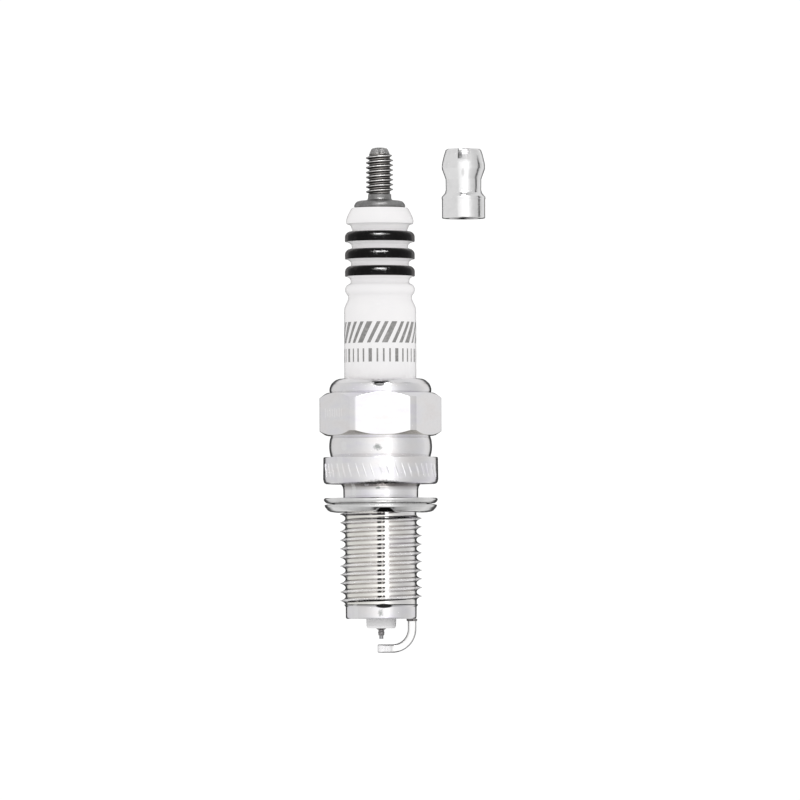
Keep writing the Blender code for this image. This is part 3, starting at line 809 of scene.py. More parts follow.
def plain(name, rgb, rough, grain_mm, variation, scale, metallic=1.0, lines_mm=0.0):
    """A general finish: patches of the given scale, grain, edge wear and turning lines."""
    look = Look(name, rgb, metallic, rough)
    darker = tuple(max(0.0, c * (1 - variation)) for c in rgb)
    lighter = tuple(min(1.0, c * (1 + variation)) for c in rgb)
    worn = tuple(min(1.0, c * 1.35 + 0.02) for c in rgb)
    color = look.ramp(look.noise(scale=scale, detail=5.0, rough=0.6),
                      [(0.28, darker), (0.5, rgb), (0.74, lighter)])
    color = look.mix(look.worn_edges(0.52, 0.62) * 0.35, color, worn)
    grain = look.noise(scale=12.0, detail=4.0, rough=0.65)
    roughness = look.remap(grain, (0.25, 0.75), to=(rough * 0.82, min(1.0, rough * 1.18)))
    look.bump(grain, grain_mm)
    if lines_mm:
        lines = look.noise(scale=1.0, detail=4.0, rough=0.6, stretch=(0.5, 0.5, 14.0))
        look.bump(lines, lines_mm)
    return look.done(color, roughness)


PLATED = plated_steel()
GUNMETAL = gunmetal()
GLAZE = white_glaze()
BLACK = black_glaze()
NICKEL = nickel_plate()
GASKET = gasket_steel()
SIDE = side_nickel()
INK = ink()
WELD = plain("weld_bead_finish", (0.22, 0.21, 0.21), rough=0.34, grain_mm=0.03,
             variation=0.60, scale=2.6)
CENTRE = plain("centre_electrode_finish", (0.24, 0.23, 0.235), rough=0.26, grain_mm=0.008,
               variation=0.18, scale=4.0, lines_mm=0.004)
IRIDIUM = plain("iridium_finish", (0.34, 0.34, 0.35), rough=0.22, grain_mm=0.006,
                variation=0.12, scale=6.0)
TIP_WELD = plain("laser_weld_finish", (0.22, 0.21, 0.21), rough=0.34, grain_mm=0.02,
                 variation=0.25, scale=6.0)

# ====================================================================== insulator
# Outline tables hold (radius, height) or (radius, height, fillet radius).
CERAMIC_LIP = [(4.00, 39.90), (4.16, 39.74, 0.1), (4.24, 39.60)]
CERAMIC_HEAD = [
    (4.24, 39.60), (4.41, 39.30), (4.54, 39.02), (4.70, 38.66),
    (4.81, 38.38), (4.87, 38.16), (4.87, 37.94), (4.83, 37.73)]
UNDER_HEAD = [
    (4.83, 37.71), (4.80, 37.60, 0.09), (4.40, 37.50, 0.12),
    (4.20, 37.30, 0.2), (3.97, 36.70, 0.4), (3.96, 36.60)]
# The ceramic under one black band, with heights from the band's lower edge.
RIB = [(4.30, 1.36), (4.66, 1.20), (4.87, 0.98), (4.93, 0.72), (4.93, 0.24), (4.88, 0)]
# The groove under each band: heights from its lower edge, then the fillets they share.
GROOVES = [
    [(4.45, -0.18), (4.12, -0.44), (4.04, -0.78)],
    [(4.50, -0.18), (4.22, -0.40), (4.16, -0.74)],
    [(4.56, -0.17), (4.28, -0.43), (4.22, -0.77)]]
GROOVE_FILLETS = (0.08, 0.15, 0.2)
LOWEST_RIB = [
    (4.22, 29.20), (4.27, 29.04), (4.46, 28.90), (4.80, 28.70), (4.98, 28.42), (5.03, 28.12),
    (4.98, 27.74), (4.82, 27.46), (4.66, 27.24), (4.60, 27.00), (4.66, 26.62), (4.82, 26.24),
    (5.01, 25.84), (5.14, 25.48), (5.19, 25.14), (PRINT_RADIUS, 24.80)]
BARREL = [(PRINT_RADIUS, 24.6), (PRINT_RADIUS, 10.30)]
IN_SHELL = [
    (PRINT_RADIUS, 10.30), (6.05, 9.60, 0.2), (6.05, 1.36, 0.2), (3.98, -0.50, 0.2),
    (3.98, -9.46, 0.1), (3.16, -10.10, 0.1), (2.50, -14.60)]
NOSE = [
    (2.50, -14.62), (2.20, -18.90, 3.0), (2.13, -20.50, 0.3), (2.05, -20.72, 0.2),
    (1.86, -20.84, 0.1), (1.50, -20.85)]
CERAMIC_BORE = [
    (1.22, -20.85), (1.14, -20.80, 0.05), (1.14, -7.62), (1.90, -6.98),
    (1.90, 39.84), (1.96, 39.90), (3.90, 39.90)]


def raised(points, offset):
    return [(r, offset + z) for r, z in points]


def build_ceramic():
    profile = [filleted(CERAMIC_LIP), spline_through(CERAMIC_HEAD), filleted(UNDER_HEAD)]
    for bottom, groove in zip(BANDS, GROOVES):
        profile.append(spline_through(raised(RIB, bottom), 3))
        floor_radius, floor_drop = groove[-1]
        profile.append(filleted([
            (4.88, bottom - 0.01),
            *((r, bottom + z, fillet) for (r, z), fillet in zip(groove, GROOVE_FILLETS)),
            (floor_radius, bottom + floor_drop - 0.1)]))
    profile += [
        spline_through(LOWEST_RIB), dense(BARREL, 0.6), filleted(IN_SHELL),
        filleted(NOSE, 5), filleted(CERAMIC_BORE)]
    ceramic = turned("ceramic_insulator", np.vstack(profile), angles(144), sharp=42)
    put_on(ceramic, GLAZE, "plug", "white_glazed_ceramic", "insulator")


# The outside of a black band, with heights from its lower edge.
BAND_SHOULDER = [
    (4.34, 1.455), (4.46, 1.43), (4.72, 1.29), (4.93, 1.06), (5.03, 0.82), (5.05, 0.60)]


def build_black_band(number, bottom):
    theta = angles(180)
    outer = np.vstack([
        spline_through(raised(BAND_SHOULDER, bottom), 4),
        filleted([(5.05, bottom + 0.50), (5.05, bottom + 0.04, 0.12),
                  (4.99, bottom - 0.02, 0.03), (4.905, bottom - 0.02)])])
    rows = []
    for radius, z in outer:
        # The glaze is thinner in some places than in others.
        lift = 0.010 * wobble(theta, z, seed=11 + number, count=8, top=14)
        lift = lift * smoothstep((radius - 4.6) / 0.3)
        rows.append((radius + np.minimum(lift, 0.004), z))
    # The inside runs just off the ceramic.
    rows += [(r + 0.025, z + 0.012) for r, z in reversed(raised(RIB, bottom)[:-1])]
    obj = turned(f"black_band_{number}", rows, theta, sharp=45)
    return put_on(obj, BLACK, "plug", "black_glaze", f"glaze_band_{number}")


def on_cylinder(radius):
    """Places marks round a cylinder, across counted along its surface from the front."""
    def place(across, z, lift):
        angle = math.radians(FRONT) + across / radius
        return ((radius + lift) * math.cos(angle), (radius + lift) * math.sin(angle), z)
    return place


def printed_row(half, pattern, shape):
    """Bars from -half to half. The pattern of (width, advance) repeats."""
    low, tall, slant, wide_cells, tall_cells = shape
    across = -half
    for width, advance in cycle(pattern):
        if across >= half:
            return
        yield across, low, width, tall, slant, wide_cells, tall_cells
        across += advance


def build_print():
    """Slanted bars over a row of upright ticks, on the ceramic barrel."""
    # Each shape is (low, tall, slant, cells across, cells up).
    bars = printed_row(
        8.6, [(0.54, 1.16), (0.54, 1.04), (0.84, 1.50)], (20.30, 3.05, 0.50, 3, 8))
    ticks = printed_row(
        8.4, [(0.24, 0.92)] * 3 + [(0.50, 1.18)], (17.55, 1.92, 0.0, 2, 5))
    obj = raised_bars("printed_marks", [*bars, *ticks], on_cylinder(PRINT_RADIUS), thick=0.014)
    return put_on(obj, INK, "plug", None)


build_ceramic()
black_bands = [build_black_band(number, bottom) for number, bottom in enumerate(BANDS, 1)]
printed = build_print()

# ====================================================================== terminal stud
STUD_TIP = [
    (0.62, 48.63), (0.98, 48.55, 0.2), (1.14, 48.43, 0.15), (1.36, 47.98, 0.5), (1.49, 47.64)]
STUD_NECK = [
    (1.53, 41.97), (1.67, 41.86, 0.08), (1.67, 41.36, 0.2), (1.76, 41.12, 0.2), (1.98, 41.03)]
STUD_COLLAR = [
    (2.3, 41.00), (2.90, 40.94, 0.6), (3.28, 40.84, 0.3), (3.48, 40.64, 0.2),
    (3.66, 40.36, 0.2), (3.70, 40.10, 0.1), (3.58, 39.95, 0.1), (3.40, 39.94)]
STUD_SHANK = [
    (1.85, 39.94), (1.85, 30.0), (1.85, 20.0), (1.85, 9.10), (1.42, 8.80), (1.42, 7.60),
    (1.22, 7.30), (1.22, 6.90), (1.42, 6.60), (1.42, 5.80), (1.22, 5.50), (1.22, 5.10),
    (1.42, 4.80), (1.24, 4.30), (0.0, 4.30)]


def stud_relief(t):
    return np.where(t > 0, np.clip((t - 0.16) / 0.64, 0, 1) ** 1.7, 0.0)


def tip_row(theta, radius, z):
    """One row of the stud's uneven tip, with faint flats and a notch at the front."""
    uneven = 0.035 * wobble(theta, z * 1.5, seed=5, count=9, top=12)
    uneven = uneven * smoothstep((48.78 - z) / 0.1)
    notch = 0.17 * np.exp(-(((theta - math.radians(268.0)) / 0.075) ** 2))
    notch = notch * smoothstep((48.72 - z) / 0.25) * smoothstep((z - 47.30) / 0.3)
    flats = 0.03 * np.cos(6 * theta + 0.7)
    flats = flats * smoothstep((z - 47.4) / 0.5) * smoothstep((48.75 - z) / 0.2)
    cut = radius + np.minimum(uneven, 0.02) - notch + np.minimum(flats, 0.015)
    return np.minimum(cut, radius + 0.02), z


def build_stud():
    theta = angles(120)
    thread = helix(
        theta, lo=42.02, hi=47.62, start=41.90, pitch=TERMINAL_PITCH, turns=8.20, per=18,
        core=1.49, depth=0.46, shape=stud_relief, fade=(0.42, 0.35), rough=0.025, seed=3)
    rows = [
        (0.0, 48.66), (0.4, 48.65), *(tip_row(theta, r, z) for r, z in filleted(STUD_TIP)),
        *thread, *filleted(STUD_NECK), *filleted(STUD_COLLAR), *STUD_SHANK]
    stud = turned("threaded_stud", rows, theta, sharp=50, loop=False)
    put_on(stud, GUNMETAL, "plug", "gunmetal_steel", "terminal_stud")


build_stud()

# ====================================================================== metal shell
HEX_CORNER = 8.80    # radius of the hexagon's turned corners
HEX_SOFTEN = 0.07    # rounding between faces, corners and cones
HEX_TOP, HEX_LOW = 13.15, 6.96
# Radii and heights of the cones that chamfer the hexagon.
TOP_CONE = ([7.60, 7.72, 8.02, HEX_CORNER, 9.4], [HEX_TOP, HEX_TOP, 13.00, 12.42, 11.97])
LOW_CONE = ([7.60, 7.70, 8.02, HEX_CORNER, 9.4], [HEX_LOW, HEX_LOW, 7.06, 7.60, 8.02])

CRIMP = [
    (5.27, 14.80), (5.38, 15.04), (5.70, 15.17), (6.05, 15.17), (6.48, 15.00), (6.85, 14.70),
    (7.09, 14.45), (7.25, 14.12), (7.35, 13.75), (7.35, 13.38), (7.29, 13.17)]
UNDER_HEX = [(7.30, HEX_LOW), (7.19, 6.93, 0.05), (7.20, 6.86)]
SHELL_GROOVE = [(7.21, 6.82), (7.34, 6.40), (7.43, 5.55), (7.38, 4.70), (7.22, 3.98)]
FLANGE = [
    (7.20, 3.90), (7.26, 3.86), (8.22, 3.86, 0.06), (8.28, 3.76, 0.05), (8.32, 0.70, 0.5),
    (8.20, 0.20, 0.30), (7.92, 0.0, 0.14), (7.70, 0.0)]
SHELL_NECK = [
    (5.86, 0.0), (5.72, -0.08, 0.2), (5.50, -0.40, 0.4), (5.42, -0.80, 0.4),
    (5.38, -3.60), (5.30, -3.75)]
SHELL_NOSE = [
    (5.15, -17.385), (5.32, -17.40, 0.02), (5.33, -17.46, 0.03), (5.12, -17.76, 0.08),
    (5.12, -18.3), (5.11, -19.26, 0.1), (5.00, -19.45, 0.08), (4.90, -19.47)]
SHELL_BORE = [
    (3.98, -19.47), (3.90, -19.40), (3.90, -13.30), (3.28, -12.60), (3.28, -10.42),
    (4.06, -9.84), (4.06, -0.62), (6.14, 1.26), (6.14, 13.90), (5.92, 14.26), (5.27, 14.46)]


def shell_angles():
    """Angles with extra ones where each flat meets its corners."""
    flat_edge = math.degrees(math.acos(HEX_HALF / HEX_CORNER))
    extra = []
    for i in range(6):
        middle = FRONT + HEX_TURN + 60.0 * i
        for side in (-1, 1):
            for off in (-0.9, -0.45, 0.0, 0.45, 0.9):
                extra.append(math.radians(middle + side * (flat_edge + off)))
    return angles(180, extra)


def hex_radius(theta):
    off_flat = (theta + math.radians(90.0 - HEX_TURN + 30.0)) % (TAU / 6) - math.radians(30.0)
    flat = HEX_HALF / np.cos(off_flat)
    near = np.clip(HEX_SOFTEN - np.abs(flat - HEX_CORNER), 0, None) / HEX_SOFTEN
    return np.minimum(flat, HEX_CORNER) - near * near * HEX_SOFTEN * 0.25


def hex_rows(theta):
    """Rows down the hexagon: top cone, rounded edge, flats, rounded edge, lower cone."""
    outer = hex_radius(theta)
    inner = outer - 0.05
    top_z, low_z = np.interp(outer, *TOP_CONE), np.interp(outer, *LOW_CONE)
    flat_top, flat_low = top_z - HEX_SOFTEN, low_z + HEX_SOFTEN
    blend = (0.0, 0.3, 0.6, 1.0)
    rows = [(7.33, HEX_TOP), (7.70, HEX_TOP)]
    for t in (0.2, 0.45, 0.7):
        radius = 7.72 + t * (outer - 7.72)
        rows.append((radius, np.interp(radius, *TOP_CONE)))
    cone_z = np.interp(inner, *TOP_CONE)
    for s in blend:
        rows.append((bezier(s, inner, outer, outer), bezier(s, cone_z, top_z, flat_top)))
    for t in (0.15, 0.3, 0.45, 0.6, 0.75, 0.9):
        rows.append((outer, flat_top * (1 - t) + flat_low * t))
    cone_z = np.interp(inner, *LOW_CONE)
    for s in blend:
        rows.append((bezier(s, outer, outer, inner), bezier(s, flat_low, low_z, cone_z)))
    for t in (0.7, 0.45, 0.2):
        radius = 7.70 + t * (outer - 7.70)
        rows.append((radius, np.interp(radius, *LOW_CONE)))
    rows.append((7.66, HEX_LOW))
    return rows


def crimp_row(theta, radius, z):
    amount = smoothstep((radius - 5.35) / 0.4) * smoothstep((z - 13.2) / 0.3)
    return (radius + 0.022 * amount * wobble(theta, z, seed=2, count=6, top=6),
            z + 0.018 * amount * wobble(theta, radius, seed=4, count=6, top=7))


def groove_row(theta, radius, z):
    return radius + 0.012 * wobble(theta, z, seed=7, count=6, top=5), z


def shell_relief(t):
    return np.clip(t, 0, 1) ** 2.4


def build_shell():
    theta = shell_angles()
    thread = helix(
        theta, lo=-17.37, hi=-3.77, start=-17.47, pitch=1.25, turns=10.96, per=18,
        core=5.14, depth=0.79, shape=shell_relief, fade=(0.42, 0.25))
    rows = [
        *(crimp_row(theta, r, z) for r, z in spline_through(CRIMP, 3)),
        *hex_rows(theta),
        *filleted(UNDER_HEX, 3),
        *(groove_row(theta, r, z) for r, z in spline_through(SHELL_GROOVE, 6)),
        *dense(filleted(FLANGE, 5), 0.45),
        *filleted(SHELL_NECK),
        *thread,
        *filleted(SHELL_NOSE),
        *SHELL_BORE]
    shell = turned("plated_shell", rows, theta, sharp=36)
    put_on(shell, PLATED, "plug", "plated_steel", "metal_shell")


def build_flange_strokes():
    """Raised leaning strokes round the front of the seat flange."""
    strokes = [
        (-10.6 + 1.16 * k + 0.10 * math.sin(2.3 * k), 0.95, 0.22 + 0.05 * (k % 2), 1.95,
         -0.34, 2, 6)
        for k in range(19)]
    obj = raised_bars("flange_strokes", strokes, on_cylinder(8.315), thick=0.085)
    put_on(obj, PLATED, "plug", "plated_steel")


def on_left_flat(across, z, lift):
    """A place on the hexagon's flat to the left of the front one."""
    angle = math.radians(FRONT + HEX_TURN - 60.0)
    cos, sin = math.cos(angle), math.sin(angle)
    radius = HEX_HALF + lift
    return (cos * radius - sin * across, sin * radius + cos * across, z)


def build_hexagon_ticks():
    ticks = [
        (-2.5 + 0.62 * k, 9.55 + 0.16 * (k % 2), 0.15, 1.35 - 0.3 * (k % 2), 0.0, 2, 4)
        for k in range(8)]
    obj = raised_bars("hexagon_ticks", ticks, on_left_flat, thick=0.030)
    put_on(obj, PLATED, "plug", "plated_steel")


build_shell()
build_flange_strokes()
build_hexagon_ticks()

# ====================================================================== gasket
# The folded sheet's outline, with heights down from the gasket's top.
GASKET_TOP = (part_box("gasket")[1].z - SEAT) / MM
GASKET_FOLD = [
    (5.72, 0.14), (5.80, 0.03, 0.06), (5.95, 0, 0.1), (8.10, 0, 0.08), (8.24, 0.12, 0.08),
    (8.25, 0.30, 0.1), (8.12, 0.52, 0.2), (7.86, 0.74, 0.2), (7.30, 0.83, 0.1), (6.90, 0.84),
    (6.90, 0.91), (7.80, 0.92, 0.05), (8.08, 0.97, 0.05), (8.16, 1.08, 0.06),
    (8.02, 1.36, 0.3), (7.64, 1.80, 0.4), (7.30, 1.97, 0.4), (6.60, 2.075, 0.4),
    (6.34, 2.075, 0.10), (6.14, 1.95, 0.15), (6.07, 1.20, 0.4), (6.01, 0.62, 0.15),
    (5.76, 0.48, 0.1), (5.72, 0.40)]


def build_gasket():
    theta = angles(168)
    outline = [(radius, GASKET_TOP - drop, *fillet) for radius, drop, *fillet in GASKET_FOLD]
    rows = []
    for radius, z in filleted(outline, 5):
        rim = smoothstep((radius - 6.3) / 1.4)
        uneven = 0.02 * rim * wobble(theta, z * 0.6, seed=21, count=6, top=6)
        rows.append((radius - 0.02 * rim + uneven, z))
    obj = turned("folded_gasket", rows, theta, sharp=40)
    put_on(obj, GASKET, "loose_gasket", "gasket_steel", "gasket")


build_gasket()

# ====================================================================== centre electrode
PIN_SHANK = [
    (0.60, -5.16), (1.02, -5.16), (1.02, -6.16), (1.82, -6.16), (1.82, -6.92),
    (1.09, -7.54), (1.09, -20.16)]
PIN_END = [
    (1.05, -20.30), (0.74, -20.82, 0.1), (0.62, -20.96, 0.1), (0.40, -21.10, 0.1),
    (0.42, -21.28, 0.1), (0.46, -21.40, 0.2), (0.46, -21.58, 0.05), (0.42, -21.66),
    (0.30, -21.66)]
PIN_BORE = [(0.0, -21.66), (0.0, -19.60), (0.60, -19.60)]
TIP_BEAD = [
    (0.0, -21.68), (0.36, -21.68), (0.44, -21.71, 0.04), (0.43, -21.78, 0.06),
    (0.36, -21.85, 0.06), (0.33, -21.90), (0.0, -21.90)]
TIP_POINT = [
    (0.0, -21.92), (0.29, -21.92), (0.30, -21.94), (0.295, -22.33, 0.02),
    (0.27, -22.365, 0.02), (0.0, -22.37)]


def build_centre_electrode():
    theta = angles(72)
    rows = [*PIN_SHANK, *filleted(PIN_END), *PIN_BORE]
    pin = turned("centre_electrode_pin", rows, theta, sharp=40)
    put_on(pin, CENTRE, "plug", "nickel_alloy", "centre_electrode")

    rows = [(r + 0.012 * np.sin(9 * theta) * (r > 0.3), z) for r, z in filleted(TIP_BEAD)]
    bead = turned("tip_weld_bead", rows, theta, sharp=60, loop=False)
    put_on(bead, TIP_WELD, "plug", "laser_weld", "tip_weld")

    point = turned("iridium_point", filleted(TIP_POINT, 3), theta, sharp=40, loop=False)
    put_on(point, IRIDIUM, "plug", "iridium", "iridium_tip")


build_centre_electrode()

# ====================================================================== side electrode
BAR_OUT, BAR_IN = 5.06, 3.84        # faces of the upright foot, in X
BAR_HALF = 1.32                     # half width, in Y
FOOT = -19.49                       # height of the foot's upper end
ARM_TOP, ARM_LOW = -23.17, -24.37   # faces of the arm, in height
BEND_IN, BEND_OUT = 2.25, 3.45      # radii of the bend's two faces
# Stations along the arm, and its half width over X, tapering to the free end.
ARM_X = (1.50, 1.2, 0.8, 0.4, 0.0, -0.30, -0.44, -0.50, -0.53)
ARM_TAPER = ([-1.2, -0.55, 1.50, 1.62], [0.60, 0.72, 1.26, BAR_HALF])
END_SQUEEZE = (0.84, 0.93, 0.975)   # section scale from the free end inwards


def bar_path():
    """Stations of (inner x, inner z, outer x, outer z, half width) from foot to free end."""
    path = []
    for z in np.linspace(FOOT, ARM_TOP + BEND_IN, 6):
        path.append((BAR_IN, z, BAR_OUT, max(z, ARM_LOW + BEND_OUT), BAR_HALF))
    for angle in np.linspace(0.0, 90.0, 19)[1:]:
        cos, sin = math.cos(math.radians(angle)), math.sin(math.radians(angle))
        path.append((
            BAR_IN - BEND_IN + BEND_IN * cos, ARM_TOP + BEND_IN - BEND_IN * sin,
            BAR_OUT - BEND_OUT + BEND_OUT * cos, ARM_LOW + BEND_OUT - BEND_OUT * sin,
            BAR_HALF))
    for x in ARM_X:
        path.append((x, ARM_TOP, x, ARM_LOW, float(np.interp(x, *ARM_TAPER))))
    return path


def bar_section(inner, outer, half, corner, squeeze):
    """A rounded rectangle from inner to outer (x, z), with half its width along Y."""
    a, b = np.array(inner), np.array(outer)
    middle, arm = 0.5 * (a + b), 0.5 * (b - a) * squeeze
    thick = np.linalg.norm(arm)
    corner = min(corner, 0.9 * thick, 0.9 * half)
    points = []
    for side_u, side_v, start in ((1, 1, 0), (-1, 1, 90), (-1, -1, 180), (1, -1, 270)):
        for k in range(5):
            t = math.radians(start + 90.0 * k / 4)
            u = side_u * (thick - corner) + corner * math.cos(t)
            v = side_v * (half * squeeze - corner) + corner * math.sin(t)
            x, z = middle + arm / thick * u
            points.append((x, v, z))
    return points


def build_side_electrode():
    path = bar_path()
    sections = []
    for index, (x_in, z_in, x_out, z_out, half) in enumerate(path):
        to_end = len(path) - 1 - index
        squeeze = END_SQUEEZE[to_end] if to_end < len(END_SQUEEZE) else 1.0
        corner = 0.34 if to_end > 4 else 0.22
        sections.append(bar_section((x_in, z_in), (x_out, z_out), half, corner, squeeze))
    count = len(sections[0])
    points = [p for section in sections for p in section]
    sides = [(j, (j + 1) % count) for j in range(count)]
    quads = []
    for k in range(len(sections) - 1):
        a, b = k * count, (k + 1) * count
        quads += [(a + j, a + j2, b + j2, b + j) for j, j2 in sides]
    for end in (0, len(sections) - 1):
        hub = len(points)
        points.append(tuple(np.mean(np.array(sections[end]), 0)))
        for j, j2 in sides:
            a, b = end * count + j, end * count + j2
            quads.append((a, b, hub, hub) if end else (b, a, hub, hub))
    obj = mesh_object("side_electrode_bar", points, quads, sharp=40)
    put_on(obj, SIDE, "plug", "side_electrode_nickel", "ground_electrode")


def rounded_square(angle, power):
    """(x, y) on a superellipse with half sides of 1."""
    cos, sin = math.cos(angle), math.sin(angle)
    scale = 1.0 / (abs(cos) ** power + abs(sin) ** power) ** (1 / power)
    return scale * cos, scale * sin


def build_foot_weld():
    """The uneven bead round the side electrode's foot, with a hole for the bar."""
    count, levels = 96, 6
    lo, hi = (Vector((p.x, p.y, p.z - SEAT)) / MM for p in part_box("ground_weld"))
    middle_x, half_x, half_y = 0.5 * (lo.x + hi.x), 0.5 * (hi.x - lo.x), 0.5 * (hi.y - lo.y)
    hole_lo, hole_hi, hole_y = BAR_IN - 0.03, BAR_OUT + 0.03, 1.35
    turn = [TAU * j / count for j in range(count)]
    points = []
    for level in range(levels + 1):
        t = level / levels
        z = hi.z + (lo.z - hi.z) * t
        for angle in turn:
            swell = 1.0 - 0.06 * abs(math.sin(5 * angle + 1.0))
            swell = swell - 0.05 * abs(math.sin(11 * angle)) - 0.10 * max(0.0, t - 0.35)
            swell *= 1.0 - 0.03 * (1 - math.sin(math.pi * (0.15 + 0.7 * t)))
            x, y = rounded_square(angle, 6)
            sag = 0.04 * t * math.sin(7 * angle) * (t < 0.99)
            points.append((middle_x + half_x * x * swell, half_y * y * swell, z + sag))
    for z in (hi.z + (lo.z - hi.z), hi.z):
        for angle in turn:
            x, y = rounded_square(angle, 12)
            hole_x = 0.5 * (hole_lo + hole_hi) + 0.5 * (hole_hi - hole_lo) * x
            points.append((hole_x, hole_y * y, z))
    rings = levels + 3
    quads = []
    for k in range(rings):
        a, b = k * count, (k + 1) % rings * count
        for j in range(count):
            j2 = (j + 1) % count
            quads.append((a + j, b + j, b + j2, a + j2))
    obj = mesh_object("foot_weld_bead", points, quads, sharp=50)
    put_on(obj, WELD, "plug", "weld_steel", "ground_weld")


build_side_electrode()
build_foot_weld()

# ====================================================================== loose terminal nut
# The outside from the crown down to the foot, with heights from the nut's foot.
NUT_OUTLINE = [
    (2.10, 10.02), (2.34, 10.05, 0.05), (2.56, 9.90, 0.06), (2.80, 9.19, 0.03),
    (3.075, 8.04, 0.03), (3.12, 7.72, 0.06), (3.12, 7.17, 0.04), (2.605, 5.74, 0.02),
    (2.575, 5.62, 0.02), (2.56, 4.10, 0.25), (2.68, 3.68, 0.25), (2.96, 3.34, 0.10),
    (3.13, 3.16, 0.05), (3.165, 3.04, 0.04), (3.165, 2.84, 0.05), (3.12, 2.74, 0.04),
    (3.12, 0.10, 0.05), (3.04, 0.0, 0.04), (2.36, 0.0, 0.05), (2.06, 0.28)]
SLOT_SIZE = (0.58, 9.0, 3.0)
SLOT_FLOOR = 8.55
SLOT_TURN = -11.0  # degrees


def nut_relief(t):
    return -np.clip((t - 0.15) / 0.85, 0, 1) ** 1.2


def cut_slot(nut):
    """Saw the slot across the nut's crown."""
    centre = (NUT_X * MM, 0.0, SEAT + (NUT_Z + SLOT_FLOOR + 0.5 * SLOT_SIZE[2]) * MM)
    cutter = block("nut_slot_tool", SLOT_SIZE, SLOT_TURN, centre)
    cut = nut.modifiers.new("slot", "BOOLEAN")
    cut.object = cutter
    cut.operation = "DIFFERENCE"
    cut.solver = "EXACT"
    bpy.context.view_layer.update()
    depsgraph = bpy.context.evaluated_depsgraph_get()
    mesh = bpy.data.meshes.new_from_object(nut.evaluated_get(depsgraph))
    nut.modifiers.clear()
    nut.data = mesh
    bpy.data.objects.remove(cutter, do_unlink=True)
    bm = bmesh.new()
    bm.from_mesh(mesh)
    bmesh.ops.remove_doubles(bm, verts=bm.verts, dist=2e-8)
    bmesh.ops.dissolve_degenerate(bm, edges=bm.edges, dist=2e-8)
    bm.to_mesh(mesh)
    bm.free()


def build_nut():
    theta = angles(150)
    thread = helix(
        theta, lo=0.40, hi=9.70, start=3.05, pitch=TERMINAL_PITCH, turns=9.0, per=12,
        core=2.02, depth=0.34, shape=nut_relief, fade=(0.3, 0.3))
    rows = [*filleted(NUT_OUTLINE), *reversed(thread), (2.02, 9.95)]
    nut = turned("terminal_nut_plated", raised(rows, NUT_Z), theta, sharp=24, centre_x=NUT_X)
    cut_slot(nut)
    shade(nut.data, sharp=24)
    put_on(nut, NICKEL, "loose_nut", "nickel_plate_nut", "terminal_nut")


build_nut()

# ====================================================================== hidden CAD pieces
# CAD node, material name, colour, roughness, grain depth, variation, patch scale, extras.
SEAL = dict(rough=0.42, grain_mm=0.02, variation=0.35, scale=2.4, metallic=0.0)
RING = dict(rough=0.36, grain_mm=0.006, variation=0.12, scale=2.0, lines_mm=0.006)
INSIDE = [
    ("copper_core", "copper_finish", (0.72, 0.36, 0.22),
     dict(rough=0.28, grain_mm=0.006, variation=0.12, scale=1.6, lines_mm=0.01)),
    ("lower_glass_seal", "glass_seal_low_finish", (0.20, 0.12, 0.09), SEAL),
    ("upper_glass_seal", "glass_seal_up_finish", (0.20, 0.13, 0.10), SEAL),
    ("resistor", "resistor_finish", (0.06, 0.06, 0.06),
     dict(rough=0.65, grain_mm=0.03, variation=0.4, scale=3.5, metallic=0.0)),
    ("talc_filling", "talc_finish", (0.80, 0.79, 0.76),
     dict(rough=0.9, grain_mm=0.05, variation=0.08, scale=2.0, metallic=0.0)),
    ("packing_ring_upper", "packing_ring_up_finish", (0.48, 0.48, 0.48), RING),
    ("packing_ring_lower", "packing_ring_low_finish", (0.48, 0.48, 0.48), RING),
    ("seat_washer", "seat_washer_finish", (0.55, 0.55, 0.54), {**RING, "rough": 0.34}),
]
for node_name, finish_name, rgb, settings in INSIDE:
    finish = plain(finish_name, rgb, **settings)
    piece = frame["nodes"][node_name]
    if piece.material_slots:
        for material_slot in piece.material_slots:
            material_slot.material = finish
    else:
        piece.data.materials.append(finish)

# ====================================================================== studio world
scene = bpy.context.scene
scene.view_settings.view_transform = "Standard"
scene.view_settings.look = "None"
scene.view_settings.exposure = 0.0
scene.view_settings.gamma = 1.0

BACKDROP = 1.06  # brightness seen by the camera and by diffuse light

# Brightness over azimuth, in degrees from the front and positive to the right (+X).
AROUND = [
    (-180, 0.72), (-138, 0.72), (-122, 0.76), (-91, 0.74), (-71, 0.76), (-54, 0.80),
    (-38, 0.90), (-22, 1.06), (-8, 1.18), (4, 1.24), (16, 1.24), (32, 1.10), (42, 0.86),
    (56, 0.74), (72, 0.68), (91, 0.68), (108, 0.74), (124, 0.84), (138, 0.80), (180, 0.80)]
AROUND_SCALE = 1.25  # keeps the ramp's stops under 1
# Brightness over elevation in degrees, towards the camera and behind the plug.
AHEAD = [
    (-90, 0.40), (-72, 0.62), (-55, 0.86), (-25, 0.98), (0, 1.0), (40, 1.0), (60, 0.94),
    (75, 0.86), (90, 0.80)]
BEHIND = [
    (-90, 0.40), (-72, 0.42), (-58, 0.46), (-48, 0.72), (-38, 0.84), (-27, 0.78),
    (-19, 0.09), (0, 0.05), (19, 0.09), (27, 0.78), (38, 0.84), (60, 0.82), (90, 0.80)]


